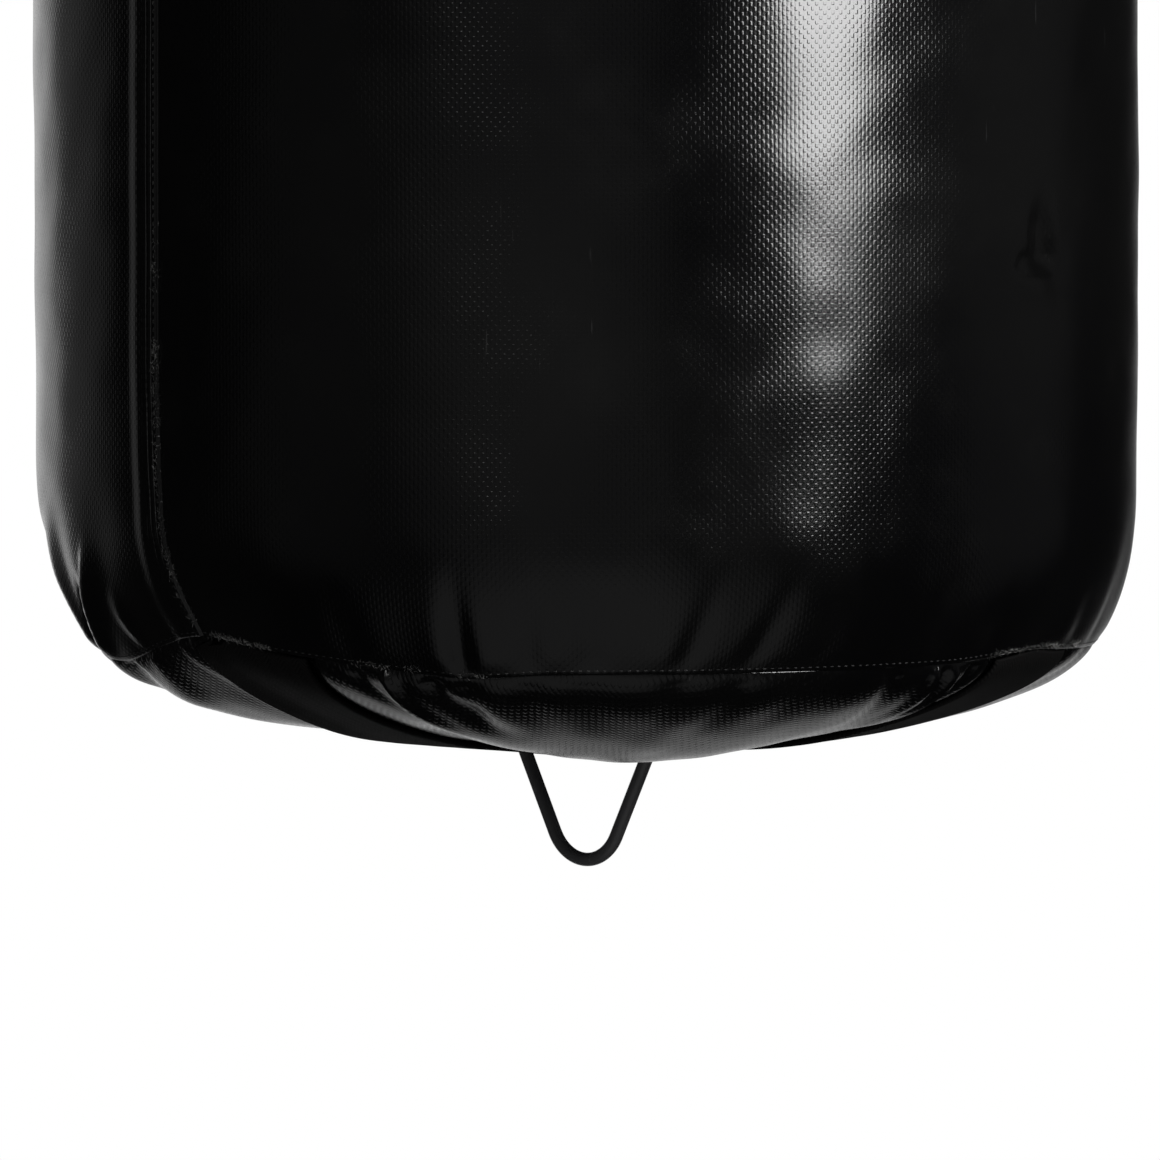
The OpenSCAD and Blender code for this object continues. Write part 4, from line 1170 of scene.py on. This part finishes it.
def frayed_thread(name, starts, normals, alongs, seed):
    """Short curled fibres that stand a little off the cloth, in one mesh."""
    draw = np.random.default_rng(seed)
    count = len(starts)
    side = unit(np.cross(normals, alongs))
    turn = draw.normal(0, 0.9, count)[:, None]
    way = alongs * np.cos(turn) + side * np.sin(turn)
    size = draw.uniform(0.5, 1.5, count)[:, None] * MM
    bend = draw.normal(0, 0.35, count)[:, None]
    thick = draw.uniform(0.05, 0.11, count) * MM
    f = np.linspace(0, 1, 4)
    path = (starts[:, None] + way[:, None] * (size * f)[..., None]
            + side[:, None] * (size * bend * f**2)[..., None]
            + normals[:, None] * (size * 0.45 * np.sin(math.pi * f * 0.8) + 0.05 * MM)[..., None])
    corner = np.array([0, 2 * math.pi / 3, 4 * math.pi / 3])
    ring = normals[:, None, None] * np.cos(corner)[:, None] + side[:, None, None] * np.sin(corner)[:, None]
    narrow = (1 - 0.5 * f)[None, :, None, None] * thick[:, None, None, None]
    points = path[:, :, None] + ring * narrow
    k, i, j = (x.ravel() for x in np.meshgrid(np.arange(count), np.arange(3), np.arange(3),
                                              indexing="ij"))
    at = k * 12 + i * 3
    faces = np.stack([at + j, at + (j + 1) % 3, at + 3 + (j + 1) % 3, at + 3 + j], -1)
    soft_piece(name, points, faces.tolist(), "bag", worn_thread_finish)
    return count


draw = np.random.default_rng(31)
up_heights = np.concatenate([draw.uniform(a, b, n) for a, b, n in worn_up]) * MM
up_azimuths = lap_centre(up_heights) + draw.normal(-0.1, 0.16, len(up_heights))
count = frayed_thread("side_seam_fibres", side_point(up_azimuths, up_heights),
                      side_normals(up_azimuths, up_heights),
                      np.tile([0.0, 0.0, 1.0], (len(up_heights), 1)), 32)
print(count, "fibres up the side")
round_azimuths = np.concatenate([draw.uniform(a, b, n) for a, b, n in worn_round])
round_heights = draw.normal(0.7, 0.5, len(round_azimuths)) * MM
count = frayed_thread("bottom_seam_fibres", side_point(round_azimuths, np.maximum(0, round_heights)),
                      unit(radial(round_azimuths) - np.array([0, 0, 0.4])),
                      tangent(round_azimuths), 33)
print(count, "fibres round the bottom")

# %% Sew round the rim
rim_line = radial(round_way) * (rim_centre_r + 3 * MM)
rim_line[:, 2] = rim_centre_z + math.sqrt(rim_r**2 - (3 * MM) ** 2)
count = stitch_row("rim_stitches", rim_line, np.zeros_like(rim_line) + [0, 0, 1.0], 3.2 * MM, "bag",
                   thread_finish, seed=3)
print(count, "stitches round the rim")

# %% Sew down the strap ends
tail_r = bag_r + rest_gap + web_t
tail_bottom = rim_centre_z - tail_l
box_w, box_low, box_high = 19 * MM, tail_bottom + 6 * MM, tail_bottom + 62 * MM
box_corners = [(-box_w, box_low), (box_w, box_low), (box_w, box_high), (-box_w, box_high),
               (-box_w, box_low), (box_w, box_high), (-box_w, box_high), (box_w, box_low)]
for corner, azimuth in enumerate((45.0, 135.0, 225.0, 315.0)):
    route = []
    for (s0, z0), (s1, z1) in zip(box_corners, box_corners[1:]):
        f = np.linspace(0, 1, 40)[:-1]
        s, z = mix(s0, s1, f), mix(z0, z1, f)
        at = azimuth + np.degrees(s / tail_r)
        route.append(np.concatenate([radial(at)[:, :2] * tail_r, z[:, None]], 1))
    route = np.concatenate(route)
    count = stitch_row(f"strap_end_stitches_{corner + 1}", route,
                       unit(route * np.array([1.0, 1.0, 0.0])), 3.0 * MM, "bag", thread_finish,
                       seed=10 + corner)
print(count, "stitches in each strap end")

# %% Sew in the zip
for name, way in (("zip_stitches_front", -1), ("zip_stitches_back", 1)):
    x = np.linspace(-slit_half_l + 3 * MM, slit_half_l - 3 * MM, 300)
    line = np.stack([x, 0 * x + way * (slit_half_w + 2.6 * MM), 0 * x + rim_z - 0.1 * MM], -1)
    stitch_row(name, line, np.zeros_like(line) + [0, 0, 1.0], 3.0 * MM, "bag", thread_finish,
               seed=20 + way)
print("zip sewn in")

# %% [markdown]
# ## Floor, light and the empty room
# The bag hangs over a plain pale floor in front of white. A black glossy thing shows what
# stands round it, so the room matters more than the lamps: dark on the camera's side, pale
# behind, with one tall soft lamp on the right for the long highlight. The floor is white
# for the camera but still takes the bag's shadow, and it is clear from beneath.

# %% Make the floor
floor_drop = 0.45
floor_half = 9.0
floor_mesh = bpy.data.meshes.new("floor")
floor_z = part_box("tie_down_ring")[0].z - floor_drop
floor_mesh.from_pydata([(x * floor_half, y * floor_half, floor_z)
                        for x, y in ((-1, -1), (1, -1), (1, 1), (-1, 1))], [], [(0, 1, 2, 3)])
floor = bpy.data.objects.new("floor", floor_mesh)
bpy.context.scene.collection.objects.link(floor)
f = Finish("floor_white", (0.86, 0.86, 0.86), 0.9)
lit = f.shader.outputs[0]
glow = f.node("Emission", {"Color": (1, 1, 1, 1), "Strength": 1.0}).outputs[0]
clear = f.node("BsdfTransparent").outputs[0]
spot = f.node("SeparateXYZ", {"Vector": f.place()})
away = f.math("SQRT", f.math("ADD", f.math("POWER", spot.outputs["X"], 2.0),
                             f.math("POWER", spot.outputs["Y"], 2.0)))
far = f.band(away, 0.8, 2.2)
ray = f.node("LightPath")
to_camera = f.math("MULTIPLY", ray.outputs["Is Camera Ray"], f.math("MAXIMUM", far, 0.82))
shown = f.node("MixShader", {"Fac": to_camera})
f.links.new(lit, shown.inputs[1])
f.links.new(glow, shown.inputs[2])
unseen = f.math("MAXIMUM", f.node("NewGeometry").outputs["Backfacing"], ray.outputs["Is Glossy Ray"])
both = f.node("MixShader", {"Fac": unseen})
f.links.new(shown.outputs[0], both.inputs[1])
f.links.new(clear, both.inputs[2])
f.links.new(both.outputs[0], f.nodes["Material Output"].inputs["Surface"])
floor_mesh.materials.append(f.material)
print("floor", floor_drop, "m below the small ring")

# %% Light the room
world = bpy.data.worlds.new("room")
bpy.context.scene.world = world
world.use_nodes = True
room = Net(world.node_tree)
room.nodes.clear()
# Turn from the camera and rise in degrees, then reach where it starts to fade, reach where it
# ends, and strength of each soft patch: pale walls behind, and dim ones in front and beside.
room_patches = [
    (-168, -4, 8, 25, 0.8), (-174, -22, 8, 32, 0.4), (-138, 0, 4, 24, 0.13),
    (-12, 8, 10, 40, 0.11), (100, 0, 8, 30, 0.06), (-60, -5, 6, 26, 0.05), (-4, -42, 12, 46, 0.20),
    (0, 80, 10, 34, 0.5),
]
dark_room = 0.010
ambient_light = 0.6
direction = room.node("TexCoord").outputs["Generated"]
reflected = dark_room
for turn, rise, start, end, level in room_patches:
    flat_way = Vector(radial(view_azimuth + turn)) * math.cos(math.radians(rise))
    way = flat_way + Vector((0, 0, math.sin(math.radians(rise))))
    facing = room.node("VectorMath", {0: direction, 1: way}, operation="DOT_PRODUCT")
    patch = room.band(facing.outputs["Value"], math.cos(math.radians(end)),
                      math.cos(math.radians(start)), 0.0, level)
    reflected = room.math("MAXIMUM", reflected, patch)
rays = room.node("LightPath")
mirrored = room.math("MULTIPLY", reflected, rays.outputs["Is Glossy Ray"])
ambient = room.math("MULTIPLY", rays.outputs["Is Diffuse Ray"], ambient_light)
seen = room.math("MAXIMUM", rays.outputs["Is Camera Ray"], rays.outputs["Is Transmission Ray"])
strength = room.math("MAXIMUM", room.math("MAXIMUM", mirrored, ambient), seen)
background = room.node("Background", {"Color": (1, 1, 1, 1), "Strength": strength})
room.node("OutputWorld", {"Surface": background.outputs[0]})


def soft_lamp(name, turn, height, distance, width, tall, power):
    """A level lamp at a turn from the camera, its middle at a height over the bottom seam."""
    lamp = bpy.data.objects.new(name, bpy.data.lights.new(name, "AREA"))
    bpy.context.scene.collection.objects.link(lamp)
    lamp.data.shape = "ELLIPSE"
    lamp.data.size = width
    lamp.data.size_y = tall
    lamp.data.energy = power
    outward = Vector(radial(view_azimuth + turn))
    lamp.location = outward * distance + Vector((0, 0, seam_z + height))
    lamp.rotation_euler = outward.to_track_quat("Z", "Y").to_euler()


soft_lamp("key", 46, 0.55, 0.85, 0.50, 0.92, 19)
soft_lamp("fill", -21, 1.10, 1.6, 0.45, 1.4, 6)
bpy.context.scene.view_settings.view_transform = "Standard"
print("room lit")
